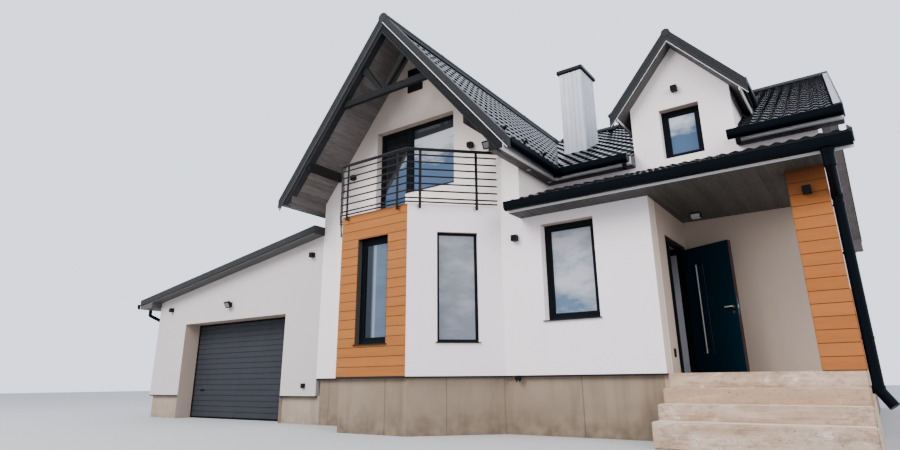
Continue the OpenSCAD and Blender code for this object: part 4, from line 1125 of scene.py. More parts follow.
@dataclass
class TiledRoof:
    """Wavy metal tiles on all slopes."""

    shop: Workshop
    wave: float = 0.185
    course: float = 0.35
    crest: float = 0.027
    step: float = 0.027

    def slopes(self) -> dict[str, tuple[list[Slope], str]]:
        """The slopes of each roof.

        Returns:
            For each piece its slopes and the solid that it stands for. Fields are in plan X-Y.
        """
        p = PLAN
        x0, yr, vx = p.ridge_x, p.ridge_y, p.valley_x
        right, left = x0 + p.wing_run, x0 - p.wing_run
        dl, dr = p.dormer_x - p.dormer_half, p.dormer_x + p.dormer_half
        dv = p.ridge_y - (p.ridge - p.dormer_ridge) / p.long_pitch

        def dy(x: float) -> float:
            """Y where the dormer's tiles meet the long roof at x."""
            return p.ridge_y - (p.ridge - p.dormer_z(x)) / p.long_pitch

        wing_y = p.ridge_y - p.wing_pitch / p.long_pitch * p.wing_run
        wing_right = [
            [(x0, -p.gable_over), (right, -p.gable_over), (right, wing_y), (x0, yr)],
            [(x0, yr), (vx(p.rear_eave), p.rear_eave), (x0, p.rear_eave)],
            [(x0, p.rear_eave), (right, p.rear_eave), (right, p.verge_y), (x0, p.verge_y)]]
        wing_left = [[(left, -p.gable_over), (x0, -p.gable_over), (x0, p.verge_y), (left, p.verge_y)]]
        front = [
            [(vx(p.front_eave), p.front_eave), (dl, p.front_eave), (dl, yr), (x0, yr)],
            [(dr, p.front_eave), (p.verge_x, p.front_eave), (p.verge_x, yr), (dr, yr)],
            [(dl, dy(dl)), (p.dormer_x, dv), (p.dormer_x, yr), (dl, yr)],
            [(p.dormer_x, dv), (dr, dy(dr)), (dr, yr), (p.dormer_x, yr)]]
        rear = [[(x0, yr), (p.verge_x, yr), (p.verge_x, p.rear_eave), (vx(p.rear_eave), p.rear_eave)]]
        dl2, dr2 = p.dormer_x - p.dormer_run, p.dormer_x + p.dormer_run
        d_left = [[(dl2, p.dormer_front), (p.dormer_x, p.dormer_front), (p.dormer_x, dv), (dl2, dy(dl2))]]
        d_right = [[(p.dormer_x, p.dormer_front), (dr2, p.dormer_front), (dr2, dy(dr2)), (p.dormer_x, dv)]]
        lean = [[(p.wing_right, p.lean_front), (p.verge_x, p.lean_front), (p.verge_x, p.upper_front),
                 (p.wing_right, p.upper_front)]]
        garage = [[(p.garage_low, -0.27), (p.wing_left, -0.27), (p.wing_left, p.garage_rear + 0.27),
                   (p.garage_low, p.garage_rear + 0.27)]]
        east, north = Vector((1, 0, 0)), Vector((0, 1, 0))
        top = p.garage_z(p.garage_low) + 0.09 + p.tile
        return {
            "tiles_wing": ([self.slope((right, 0, p.wing_z(right)), north, (-1, 0, p.wing_pitch), wing_right),
                            self.slope((left, 0, p.wing_z(left)), -north, (1, 0, p.wing_pitch), wing_left)],
                           "wing_tiles"),
            "tiles_long": ([self.slope((0, p.front_eave, p.long_z(p.front_eave)), east, (0, 1, p.long_pitch), front),
                            self.slope((0, p.rear_eave, p.long_z(p.rear_eave)), -east, (0, -1, p.long_pitch), rear)],
                           "long_tiles"),
            "tiles_dormer": ([self.slope((dl2, 0, p.dormer_z(dl2)), -north, (1, 0, p.dormer_pitch), d_left),
                              self.slope((dr2, 0, p.dormer_z(dr2)), north, (-1, 0, p.dormer_pitch), d_right)],
                             "dormer_tiles"),
            "tiles_porch": ([self.slope((0, p.lean_front, p.lean_z(p.lean_front)), east, (0, 1, p.lean_pitch), lean)],
                            "lean_tiles"),
            "tiles_garage": ([self.slope((p.garage_low, 0, top), -north, (1, 0, p.garage_pitch), garage)],
                             "garage_tiles"),
        }

    def slope(self, origin: Point, along: Vector, rise: Point, plan: list[list[tuple[float, float]]]) -> Slope:
        """A slope from its eave and its fields in plan.

        Args:
            origin: a point on the eave, on top of the tiles.
            along: unit vector along the eave.
            rise: vector up the slope whose plan part is one long.
            plan: convex fields in plan X-Y.
        Returns:
            The slope with its fields in U-V.
        """
        start, up = Vector(origin), Vector(rise)
        flat, stretch = Vector((up.x, up.y, 0)), up.length
        fields = [[((Vector((x, y, 0)) - start).dot(along), (Vector((x, y, 0)) - start).dot(flat) * stretch)
                   for x, y in poly] for poly in plan]
        return Slope(start, along, up.normalized(), fields)

    def cover(self, slope: Slope) -> Shape:
        """Tiles on one slope, with their edges turned down to the deck.

        Args:
            slope: the slope.
        Returns:
            The tiles in plan metres.
        """
        whole = Shape()
        normal = slope.along.cross(slope.rise).normalized()
        drop = self.crest + self.step + 0.002
        axes = Matrix((slope.along, slope.rise, normal)).transposed().to_4x4()
        place = Matrix.Translation(slope.origin - normal * drop) @ axes
        for poly in slope.fields:
            us, vs = [u for u, _ in poly], [v for _, v in poly]
            u0, v0 = math.floor(min(us) / self.wave) * self.wave, math.floor(min(vs) / self.course) * self.course
            part = self.shop.patterns.tile_tree.run({
                "Columns": math.ceil((max(us) - u0) / self.wave + 0.01),
                "Rows": math.ceil((max(vs) - v0) / self.course + 0.01),
                "Wave": self.wave, "Course": self.course, "Crest": self.crest, "Step": self.step,
                "Finish": self.shop.finishes.get("metal_tiles")})
            part.bm.transform(Matrix.Translation((u0, v0, 0)))
            middle = Vector((sum(us) / len(us), sum(vs) / len(vs), 0))
            for (ua, va), (ub, vb) in zip(poly, poly[1:] + poly[:1]):
                edge = Vector((ub - ua, vb - va, 0))
                if edge.length < 1e-4:
                    continue
                out = Vector((edge.y, -edge.x, 0)).normalized()
                if out.dot(middle - Vector((ua, va, 0))) > 0:
                    out = -out
                part.cut((ua, va, 0), out)
            whole.take(part.bm.copy())
        bmesh.ops.remove_doubles(whole.bm, verts=whole.bm.verts[:], dist=0.0003)
        rim = [e for e in whole.bm.edges if len(e.link_faces) == 1]
        made = bmesh.ops.extrude_edge_only(whole.bm, edges=rim)
        for vert in made["geom"]:
            if isinstance(vert, bmesh.types.BMVert):
                vert.co.z = -0.02
        bmesh.ops.recalc_face_normals(whole.bm, faces=whole.bm.faces[:])
        if sum(f.normal.z * f.calc_area() for f in whole.bm.faces) < 0:
            bmesh.ops.reverse_faces(whole.bm, faces=whole.bm.faces[:])
        whole.bm.transform(place)
        return whole

    def build(self) -> None:
        """Builds the tiles of every roof."""
        for name, (slopes, node) in self.slopes().items():
            whole = Shape()
            for slope in slopes:
                whole.take(self.cover(slope).bm)
            self.shop.add(whole, name, "metal_tiles", replaces=[node], smooth=40)


@dataclass
class RoofTrim:
    """Ridge rolls, verges, snow stops and the chimney's cladding.

    Attributes:
        wing_lip: how far the wing's verge stands before its deck.
        dormer_lip: the same at the dormer.
        right_bead: how far the wing's right bead lies under the tiles.
        left_bead: the same at its left verge.
        dormer_bead: the same at the dormer.
        lap: length of one ridge roll.
        flue: left, right, front and rear of the chimney.
        flue_foot: where its panels start.
        flue_top: height of its top.
    """

    shop: Workshop
    wing_lip: float = 0.03
    dormer_lip: float = 0.024
    right_bead: float = 0.105
    left_bead: float = 0.18
    dormer_bead: float = 0.225
    lap: float = 1.95
    flue: tuple[float, float, float, float] = (0.95, 1.48, 3.3, 4.05)
    flue_foot: float = 4.6
    flue_top: float = 7.74

    def slanted(self, shape: Shape, a: Point, b: Point, wide: Point, deep: Point, bevel: float = 0.004) -> None:
        """Adds a bar of parallelogram section along a slope.

        Args:
            shape: the shape that gets it.
            a: its start.
            b: its end.
            wide: first edge vector of its section.
            deep: second edge vector of its section.
            bevel: width of its bevelled edges.
        """
        p, w, d = Vector(a), Vector(wide), Vector(deep)
        shape.prism([p, p + w, p + w + d, p + d], Vector(b) - p, bevel=bevel)

    def verge_bar(self, shape: Shape, height: Callable[[float], float], ends: tuple[float, float], y: float,
                  lift: float, size: tuple[float, float], bevel: float) -> None:
        """Adds a bar along a front verge.

        Args:
            shape: the shape that gets it.
            height: height of the tiles over X.
            ends: X of its upper and lower end.
            y: its front.
            lift: how far it lies over the top of the tiles.
            size: its depth and its height.
            bevel: width of its bevelled edges.
        """
        a, b = ((x, y, height(x) + lift) for x in ends)
        self.slanted(shape, a, b, (0, size[0], 0), (0, 0, size[1]), bevel)

    def build(self) -> None:
        """Dresses the roofs' solids and adds verges, rolls and panels."""
        for node, finish in (("wing_roof_deck", "soffit_boards"), ("long_roof_deck", "soffit_boards"),
                             ("lean_roof_deck", "soffit_boards"), ("dormer_roof_deck", "dormer_soffit_painted_shade"),
                             ("garage_roof_deck", "pale_soffit"), ("roof_flashings", "flashing"),
                             ("gable_truss", "dark_timber"), ("fascias", "white_trim"),
                             ("chimney", "chimney_panels"), ("roof_vents", "dark_trim")):
            self.shop.dress(node, finish)
        self.verges()
        self.verge_strips()
        self.snow_stops()
        self.ridge_rolls()
        self.chimney()

    def verges(self) -> None:
        """Beads, ribs and skirts of the front verges, with painted shade on the wing's left bead and dark battens under
        the wing's verges.
        """
        p, shop = PLAN, self.shop
        bright, dim, ribs, skirt, under = Shape(), Shape(), Shape(), Shape(), Shape()
        wing_y, dormer_y = -p.gable_over - self.wing_lip, p.dormer_front - self.dormer_lip
        for s in (1, -1):
            ends = (p.ridge_x, p.ridge_x + s * (p.wing_run + 0.1))
            bead = -p.tile - (self.right_bead if s > 0 else self.left_bead)
            # The wing's left bead is dark grey where the others are bright: painted shade.
            self.verge_bar(bright if s > 0 else dim, p.wing_z, ends, wing_y, bead, (0.02, 0.016), 0.002)
            self.verge_bar(skirt, p.wing_z, ends, wing_y + 0.003, bead, (0.02, -bead - 0.13), 0.002)
            for lift in (0.02, -0.035, -0.09):
                self.verge_bar(ribs, p.wing_z, ends, wing_y + 0.001, lift, (0.01, 0.012), 0.003)
            ends = (p.dormer_x, p.dormer_x + s * p.dormer_verge)
            self.verge_bar(bright, p.dormer_z, ends, dormer_y, -self.dormer_bead, (0.02, 0.012), 0.002)
            self.verge_bar(skirt, p.dormer_z, ends, dormer_y + 0.004, -self.dormer_bead, (0.02, 0.12), 0.002)
            # Dark battens under the wing's verges: partly the barge board's dark tone, partly painted shade.
            self.verge_bar(under, p.wing_z, (p.ridge_x, p.ridge_x + s * 2.5), wing_y + 0.004, -0.395, (0.15, 0.03),
                           0.003)
            for lift in (0.012, -0.04, -0.092):
                self.verge_bar(ribs, p.dormer_z, ends, dormer_y + 0.001, lift, (0.01, 0.01), 0.003)
        shop.add(bright, "verge_beads", "bright_trim", "flashing")
        shop.add(ribs, "verge_ribs", "flashing")
        shop.add(dim, "left_verge_bead_painted_shade", "grey_trim", "flashing")
        shop.add(skirt, "verge_skirts", "flashing")
        shop.add(under, "verge_battens", "dark_trim")

    def verge_strips(self) -> None:
        """Pale folded strips on the tiles along the right verge of the long roof."""
        p = PLAN
        strip = Shape()
        for y0, y1 in ((p.front_eave + 0.185, p.ridge_y - 0.155), (p.rear_eave - 0.005, p.ridge_y + 0.155)):
            for x, wide, high in ((6.062, 0.083, 0.003), (6.143, 0.006, 0.009)):
                a, b = ((x, y, p.long_z(y) + 0.0245) for y in (y0, y1))
                self.slanted(strip, a, b, (wide, 0, 0), (0, 0, high), 0.001)
        self.shop.add(strip, "verge_strips", "pale_trim", "flashing")

    def snow_stops(self) -> None:
        """Small black catches that stand on the tiles over the eave."""
        p = PLAN
        stops = Shape()
        up = Vector((-1, 0, p.wing_pitch)).normalized()
        out = Vector((p.wing_pitch, 0, 1)).normalized()
        for y in (-0.42, 0.32, 1.06):
            foot = Vector((1.47, y, p.wing_z(1.47) - 0.03))
            self.slanted(stops, foot, foot + up * 0.09, (0, 0.06, 0), out * 0.03, 0.003)
            self.slanted(stops, foot + out * 0.03, foot + out * 0.03 + up * 0.03, (0, 0.06, 0), out * 0.045, 0.003)
        self.shop.add(stops, "snow_stops", "lamp_black", "flashing")

    def ridge_rolls(self) -> None:
        """Rolls with their joints along the ridges."""
        p = PLAN
        rolls = Shape()
        wing_z, dormer_z = p.ridge - 0.045, p.dormer_ridge - 0.05
        runs = [((p.ridge_x, -p.gable_over - self.wing_lip, wing_z), (p.ridge_x, p.verge_y, wing_z), 0.098),
                ((p.ridge_x + 0.2, p.ridge_y, wing_z), (p.verge_x + 0.015, p.ridge_y, wing_z), 0.098),
                ((p.dormer_x, p.dormer_front - self.dormer_lip, dormer_z), (p.dormer_x, 4.75, dormer_z), 0.07)]
        for a, b, radius in runs:
            start, way = Vector(a), Vector(b) - Vector(a)
            count = math.ceil(way.length / self.lap)
            rolls.rod(a, b, radius, 24)
            for k in range(count):
                at = start + way.normalized() * 0.008 + way * (k / count)
                rolls.rod(at, at + way.normalized() * 0.04, radius + 0.005, 24)
        self.shop.add(rolls, "ridge_rolls", "flashing", smooth=40)

    def chimney(self) -> None:
        """Standing panels round the chimney and the folds of its cap."""
        (x0, x1, y0, y1), top = self.flue, self.flue_top
        panels = Shape()
        corners = [Vector(c) for c in ((x0, y0, 0), (x1, y0, 0), (x1, y1, 0), (x0, y1, 0))]
        for k, count in enumerate((5, 7, 5, 7)):
            side = (corners[(k + 1) % 4] - corners[k]) / count
            out = Vector((side.y, -side.x, 0)).normalized()
            gap = side.normalized() * 0.006
            base = corners[k] + gap + Vector((0, 0, self.flue_foot))
            piece = Shape()
            self.slanted(piece, base, base + Vector((0, 0, top - self.flue_foot - 0.004)), side - gap * 2, out * 0.008,
                         0.003)
            panels.take(self.shop.patterns.row(piece, count, side, "chimney_panels").bm)
        self.shop.add(panels, "chimney_cladding", "chimney_panels")
        hood = Shape()
        hood.box((x0 - 0.055, y0 - 0.055, top - 0.03), (x1 + 0.055, y1 + 0.055, top + 0.002), 0.006)
        hood.box((x0 - 0.02, y0 - 0.02, top - 0.05), (x1 + 0.02, y1 + 0.02, top - 0.028), 0.004)
        hood.rod((1.06, 6.43, 7.38), (1.06, 6.43, 7.42), 0.12, 24, 0.06)
        self.shop.add(hood, "chimney_hood", "dark_trim", smooth=30)


@dataclass
class Soffits:
    """Boards under the eaves and in the porch."""

    shop: Workshop
    pitch: float = 0.1
    groove: float = 0.008
    thick: float = 0.006

    def flat(self, x0: float, x1: float, y0: float, y1: float, z: float) -> Shape:
        """Boards along Y under a flat soffit.

        Args:
            x0: left end.
            x1: right end.
            y0: front.
            y1: rear.
            z: underside of the solid.
        Returns:
            The boards.
        """
        count = max(1, round((x1 - x0) / self.pitch))
        pitch = (x1 - x0) / count
        board = Shape().box((x0 + self.groove / 2, y0 + 0.002, z - self.thick),
                            (x0 + pitch - self.groove / 2, y1 - 0.002, z + 0.001), 0.002)
        return self.shop.patterns.row(board, count, (pitch, 0, 0), "soffit_boards")

    def verge(self, pitch: float = 0.075) -> Shape:
        """Narrow boards along X under the right verge of the long roof.

        Args:
            pitch: width of a board with its groove.
        Returns:
            The boards.
        """
        p = PLAN
        whole = Shape()
        for y0, y1 in ((p.upper_front + 0.01, p.ridge_y - 0.005), (p.rear, p.ridge_y + 0.005)):
            a, b = (Vector((p.right + 0.002, y, p.long_z(y) - p.tile - 0.13)) for y in (y0, y1))
            count = round((b - a).length / pitch)
            step = (b - a) / count
            board = Shape().prism([a, a + step * 0.92, a + step * 0.92 + Vector((0, 0, -self.thick)),
                                   a + Vector((0, 0, -self.thick))],
                                  (p.verge_x - p.right - 0.004, 0, 0), bevel=0.0018)
            whole.take(self.shop.patterns.row(board, count, step, "soffit_boards").bm)
        return whole

    def build(self) -> None:
        """Builds the boards of every soffit."""
        p, shop = PLAN, self.shop
        shop.dress("soffit_boards", "soffit_boards")
        porch = Shape()
        porch.take(self.flat(p.wing_right, p.porch_left, p.lean_front, 0.0, p.porch_soffit).bm)
        porch.take(self.flat(p.porch_left, p.right - 0.02, p.lean_front, p.porch_rear, p.porch_soffit).bm)
        shop.add(porch, "porch_ceiling_boards", "porch_boards_painted_shade", "soffit_boards")
        shop.add(self.verge(), "verge_boards", "olive_boards", "soffit_boards")
        eaves = Shape()
        eaves.take(self.flat(p.wing_right, p.ridge_x + p.wing_run, -p.gable_over, p.front_eave, p.eave).bm)
        eaves.take(self.flat(p.ridge_x - p.wing_run, p.wing_left, -p.gable_over, p.verge_y, p.eave).bm)
        eaves.take(self.flat(p.wing_right, p.dormer_x - p.dormer_half, p.front_eave, p.upper_front, p.eave).bm)
        eaves.take(self.flat(p.dormer_x + p.dormer_half, p.verge_x, p.front_eave, p.upper_front, p.eave).bm)
        shop.add(eaves, "eave_boards", "soffit_boards")
        rim = Shape()
        for x0, x1 in ((p.ridge_x + p.wing_run - 0.02, p.dormer_x - p.dormer_half),
                       (p.dormer_x + p.dormer_half, p.verge_x)):
            rim.box((x0, p.front_eave - 0.015, p.eave - 0.009), (x1, p.front_eave + 0.045, p.eave + 0.02), 0.003)
        rim.box((p.ridge_x + p.wing_run - 0.045, -p.gable_over, p.eave - 0.009),
                (p.ridge_x + p.wing_run + 0.012, p.front_eave, p.eave + 0.02), 0.003)
        shop.add(rim, "eave_edge_trim", "white_trim")
        gable = Shape()
        run = 2.35
        slope = Vector((1, 0, p.wing_pitch)).length
        for s in (1, -1):
            for y0, y1 in ((-p.gable_over + 0.002, -0.001), (p.rear + 0.001, p.verge_y - 0.002)):
                down = Vector((s, 0, -p.wing_pitch)) / slope
                inward = Vector((-s * p.wing_pitch, 0, -1)) / slope
                count = round(run * slope / self.pitch)
                step = down * (run * slope / count)
                start = Vector((p.ridge_x, y0, p.ridge - 0.36)) + down * (self.groove / 2)
                board = Shape().prism([start, start + step - down * self.groove,
                                       start + step - down * self.groove + inward * self.thick,
                                       start + inward * self.thick], (0, y1 - y0, 0), bevel=0.0018)
                gable.take(shop.patterns.row(board, count, step, "soffit_boards").bm)
        shop.add(gable, "gable_soffit_boards", "soffit_boards")


# Walls


@dataclass
class Walls:
    """Rendered walls, plinth and floors."""

    shop: Workshop
    profile: float = 0.026

    def build(self) -> None:
        """Dresses the walls and adds the dark start profile of the render, darkened and heightened as painted shade of
        the gap under the render.
        """
        shop, p = self.shop, PLAN
        for node in ("bay_walls", "room_wall", "left_wall", "right_wall", "rear_wall", "pier", "balcony_deck"):
            shop.dress(node, "white_render")
        # Porch walls take the darker render as painted shade under the porch roof.
        for node, finish in (("front_wall", "gable_render"), ("upper_wall", "dormer_render"),
                             ("porch_wall_near", "porch_render"), ("porch_wall_head", "porch_render"),
                             ("plinth", "plinth_plaster"), ("garage_plinth", "garage_plaster"),
                             ("garage_walls", "garage_render"), ("ground_floors", "concrete"),
                             ("upper_floor", "concrete"), ("porch_back_wall", "porch_render")):
            shop.dress(node, finish)
        line = [(p.wing_left, 0), (-p.bay_front - p.bay_out, 0), (-p.bay_front, -p.bay_out), (0, -p.bay_out),
                (p.bay_out, 0), (p.porch_left, 0)]
        strip = Shape()
        for (xa, ya), (xb, yb) in zip(line, line[1:]):
            self.edge(strip, (xa, ya), (xb, yb), p.plinth)
        for a, b in (((5.81, p.porch_rear), (5.81, p.rear)), ((5.81, p.rear), (p.wing_left, p.rear)),
                     ((p.wing_left, p.rear), (p.wing_left, p.garage_rear))):
            self.edge(strip, a, b, p.plinth)
        for a, b in (((p.garage_left, 0), (-8.04, 0)), ((-4.26, 0), (p.wing_left, 0)),
                     ((p.wing_left, p.garage_rear), (p.garage_left, p.garage_rear)),
                     ((p.garage_left, p.garage_rear), (p.garage_left, 0))):
            self.edge(strip, a, b, p.garage_plinth)
        # Partly the real start profile, partly painted shade: its dark, tall strip stands for the shadow gap under the
        # render.
        shop.add(strip, "start_profile_and_painted_shadow_gap", "dark_trim")
        # A lighter strip of painted shade on the porch's side wall where it meets the open front.
        shop.add(Shape().box((p.porch_left - 0.004, 0.002, p.plinth + 0.001),
                             (p.porch_left + 0.002, 0.27, p.porch_soffit - 0.001)), "porch_wall_edge", "porch_edge_painted_shade",
                 "porch_render")
        spout = Shape()
        spout.box((1.30, -0.045, 0.79), (1.40, -0.001, 0.86), 0.006)
        for x in (1.325, 1.375):
            spout.rod((x, -0.022, 0.765), (x, -0.022, 0.80), 0.012, 12)
        spout.box((p.porch_left - 0.001, 0.46, 1.08), (p.porch_left + 0.014, 0.54, 1.20), 0.004)
        shop.add(spout, "small_wall_boxes", "lamp_black")

    def edge(self, shape: Shape, a: Point, b: Point, z: float) -> None:
        """Adds the profile under one stretch of wall.

        Args:
            shape: the shape that gets it.
            a: its start in plan.
            b: its end in plan.
            z: underside of the render.
        """
        way = Vector((b[0] - a[0], b[1] - a[1], 0)).normalized()
        inward = Vector((-way.y, way.x, 0))
        start = Vector((a[0], a[1], z - self.profile)) - inward * 0.002 - way * 0.001
        shape.prism([start, start + inward * 0.05, start + inward * 0.05 + Vector((0, 0, self.profile - 0.001)),
                     start + Vector((0, 0, self.profile - 0.001))], Vector((b[0] - a[0], b[1] - a[1], 0)))


@dataclass
class Cladding:
    """Horizontal boards on the bay and the pier."""

    shop: Workshop
    pitch: float = 0.1533
    joint: float = 0.007
    thick: float = 0.006

    def field(self, place: Matrix, w: float, top: float,
              hole: tuple[float, float, float, float] | None = None) -> Shape:
        """Boards on an upright face, cut round one opening.

        Args:
            place: local X along the face, Y into it, Z up.
            w: width of the face.
            top: height of the face above the plinth.
            hole: left, right, sill and head of the opening.
        Returns:
            The boards.
        """
        shape = Shape()
        for k in range(math.ceil(top / self.pitch)):
            z0, z1 = k * self.pitch + self.joint, min(top, (k + 1) * self.pitch)
            cuts = [(0.0, w, z0, z1)]
            if hole:
                left, right, sill, head = hole
                cuts = [(0.0, left, z0, z1), (right, w, z0, z1), (left, right, z0, min(z1, sill)),
                        (left, right, max(z0, head), z1)]
                if z1 <= sill or z0 >= head:
                    cuts = [(0.0, w, z0, z1)]
            for a, b, low, high in cuts:
                if b - a > 0.004 and high - low > 0.004:
                    shape.box((a, -self.thick, low), (b, 0.001, high), 0.002, place)
        return shape

    def build(self) -> None:
        """Builds the boards."""
        p, shop = PLAN, self.shop
        shop.dress("timber_cladding", "board_backing")
        boards = self.field(Matrix.Translation((-p.bay_front, -p.bay_out, p.plinth)), p.bay_front, p.floor - p.plinth,
                            (0.405, 1.085, 0.51, 2.29))
        turn = Matrix.Rotation(-math.pi / 2, 4, "Z")
        shop.add(boards, "cladding_boards", "timber_boards")
        pier = self.field(Matrix.Translation((5.38, 0.024, p.plinth)), 0.43, 2.492)
        pier.take(self.field(Matrix.Translation((5.38, 0.454, p.plinth)) @ turn, 0.43, 2.492).bm)
        pier.take(self.field(Matrix.Translation((5.81, 0.024, p.plinth)) @ Matrix.Rotation(math.pi / 2, 4, "Z"), 0.43,
                             0.92).bm)
        shop.add(pier, "pier_cladding_boards", "pier_boards", "timber_boards")


@dataclass
class Steps:
    """Stone steps with eased nosings and joints."""

    shop: Workshop
    riser: float = 0.186
    tread: float = 0.305
    slab: float = 0.006

    def build(self) -> None:
        """Builds the steps and the porch floor's edge in place of the plain block."""
        p = PLAN
        x0, x1, y0 = p.porch_left, p.right, 0.02
        stone = Shape()
        stone.box((x0 - 0.06, 0.06, 0.0), (x1, p.porch_rear + 0.06, p.plinth - 0.002), 0.004)
        stone.box((x0, y0, 0.0), (x1, p.porch_rear, p.plinth), 0.014)
        for k in range(1, 4):
            stone.box((x0, y0 - k * self.tread, 0.0), (x1, y0 - (k - 1) * self.tread + 0.03, p.plinth - k * self.riser),
                      0.014)
        self.shop.add(stone, "stone_steps", "travertine", replaces=["porch_steps"], smooth=50)


# Openings


@dataclass
class Pane:
    """One window: its place, size and middle bars."""

    place: Matrix
    w: float
    h: float
    sash: bool = True
    mullion: float | None = None
    reveal: float = 0.145
    profile: float = 0.07


def upright(x: float, y: float, z: float, degrees: float = 0.0) -> Matrix:
    """A place with local X turned about the upright axis."""
    return Matrix.Translation((x, y, z)) @ Matrix.Rotation(math.radians(degrees), 4, "Z")


@dataclass
class Windows:
    """Sashes, gaskets, sills and glass."""

    shop: Workshop
    sash: float = 0.034
    gasket: float = 0.007

    def panes(self) -> list[Pane]:
        """The windows of all sides.

        Returns:
            Each window with its place.
        """
        p = PLAN
        slant = Matrix.Translation((0, -p.bay_out, 0)) @ Matrix.Rotation(math.radians(45), 4, "Z")
        found = [
            Pane(upright(-1.09, -1.022, 1.37), 0.68, 1.78, reveal=0.1),
            Pane(slant @ Matrix.Translation((0.497, 0.06, 1.37)), 0.68, 1.78, False, reveal=0.06, profile=0.038),
            Pane(upright(1.855, 0.145, 1.663), 0.89, 1.525),
            Pane(upright(-1.755, 0.145, 3.62), 0.77, 2.1, reveal=0.0),
            Pane(upright(-0.985, 0.145, 4.285), 1.155, 1.435, False, reveal=0.0),
            Pane(upright(3.614, 1.353, 4.292), 0.642, 0.886),
            Pane(upright(0.05, 11.955, 4.52, 180), 1.8, 1.2, True, 0.9)]
        found += [Pane(upright(5.665, y, 1.663, 90), 0.9, 1.45) for y in (4.2, 8.6)]
        found += [Pane(upright(5.665, y, 4.52, 90), 0.9, 1.2) for y in (5.1, 7.6)]
        found += [Pane(upright(x + 0.9, 11.955, 1.663, 180), 0.9, 1.45) for x in (-2.3, 0.2, 3.1)]
        return found

    def glaze(self, pane: Pane, sashes: Shape, gaskets: Shape) -> None:
        """Adds the sash and the gasket of each light of a window.

        Args:
            pane: the window.
            sashes: the shape that gets the sashes.
            gaskets: the shape that gets the gaskets.
        """
        edge = pane.profile
        lights = [(edge, pane.w - edge)]
        if pane.mullion:
            lights = [(edge, pane.mullion - edge / 2), (pane.mullion + edge / 2, pane.w - edge)]
        for a, b in lights:
            inner = pane.place @ Matrix.Translation((a, 0, edge))
            w, h = b - a, pane.h - 2 * edge
            inset = self.sash if pane.sash else 0.0
            if pane.sash:
                sashes.ring(inner, w, h, self.sash, 0.006, 0.0255, 0.004)
            gasket = inner @ Matrix.Translation((inset, 0, inset))
            gaskets.ring(gasket, w - 2 * inset, h - 2 * inset, self.gasket, 0.018, 0.0258, 0.001)

    def reveals(self, panes: list[Pane]) -> Shape:
        """Thin linings of the openings' heads and of the garage opening, in the darker render as painted shade.

        Args:
            panes: the windows.
        Returns:
            The linings.
        """
        whole = Shape()
        for pane in panes:
            if pane.reveal:
                whole.box((0.0, 0.002 - pane.reveal, pane.h - 0.0025), (pane.w, -0.001, pane.h + 0.0005), 0.0,
                          pane.place)
        whole.box((-1.755, 0.002, 5.7175), (0.17, 0.144, 5.7205))
        x0, x1, y1, z1 = -8.04, -4.26, 0.399, 2.2
        for a, b in (((x0 - 0.0005, 0.002, 0.0), (x0 + 0.002, y1, z1)),
                     ((x1 - 0.002, 0.002, 0.0), (x1 + 0.0005, y1, z1)),
                     ((x0, 0.002, z1 - 0.002), (x1, y1, z1 + 0.0005))):
            whole.box(a, b)
        return whole

    def build(self) -> None:
        """Dresses frames and glass and adds linings, sashes and gaskets."""
        shop, panes = self.shop, self.panes()
        for node, finish in (("window_frames", "frame_grey"), ("lower_glass", "lower_glass"),
                             ("upper_glass", "upper_glass"), ("window_sills", "dark_trim")):
            shop.dress(node, finish)
        # The linings take the darker porch render: painted shade in the openings' heads and the garage opening.
        shop.add(self.reveals(panes), "window_reveals", "porch_render")
        side = Shape().box((-1.0905, -1.12, 1.37), (-1.087, -1.023, 3.15))
        side.box((-1.087, -1.12, 3.1475), (-0.41, -1.023, 3.1505))
        shop.add(side, "bay_window_reveal", "shadow_timber", "timber_boards")
        sill = Shape().box((-0.985, -0.014, 4.268), (0.17, 0.001, 4.286), 0.003)
        shop.add(sill, "balcony_pane_sill", "dark_trim")
        sashes, gaskets = Shape(), Shape()
        for pane in panes:
            self.glaze(pane, sashes, gaskets)
        shop.add(sashes, "window_sashes", "frame_grey")
        shop.add(gaskets, "window_gaskets", "gasket", "frame_grey")


@dataclass
class GarageDoor:
    """Sectional door with its ribs, seals, track covers and pull."""

    shop: Workshop
    left: float = -8.04
    width: float = 3.78
    height: float = 2.2
    depth: float = 0.4
    ribs: int = 18

    def build(self) -> None:
        """Builds the door in place of the plain slab."""
        shop = self.shop
        door = Shape().box((self.left, self.depth + 0.012, 0), (self.left + self.width, self.depth + 0.05, self.height))
        pitch = (self.height - 0.03) / self.ribs
        rib = Shape().box((self.left + 0.03, self.depth, 0.03 + 0.005),
                          (self.left + self.width - 0.03, self.depth + 0.016, 0.03 + pitch - 0.004), 0.006)
        door.take(shop.patterns.row(rib, self.ribs, (0, 0, pitch), "garage_door_grey").bm)
        shop.add(door, "garage_door_panels", "garage_door_grey", replaces=["garage_door"], smooth=30)
        seals = Shape()
        seals.box((self.left, self.depth - 0.012, 0), (self.left + 0.04, self.depth + 0.013, self.height), 0.004)
        seals.box((self.left + self.width - 0.04, self.depth - 0.012, 0),
                  (self.left + self.width, self.depth + 0.013, self.height), 0.004)
        seals.box((self.left, self.depth - 0.012, self.height - 0.045),
                  (self.left + self.width, self.depth + 0.013, self.height), 0.004)
        seals.box((self.left + 0.03, self.depth - 0.004, 0.0),
                  (self.left + self.width - 0.03, self.depth + 0.013, 0.034), 0.006)
        grip = Vector((-7.72, self.depth - 0.02, 0.62))
        seals.box(grip, grip + Vector((0.16, 0.022, 0.035)), 0.008)
        shop.add(seals, "garage_door_seals", "gasket", "garage_door_grey", smooth=30)


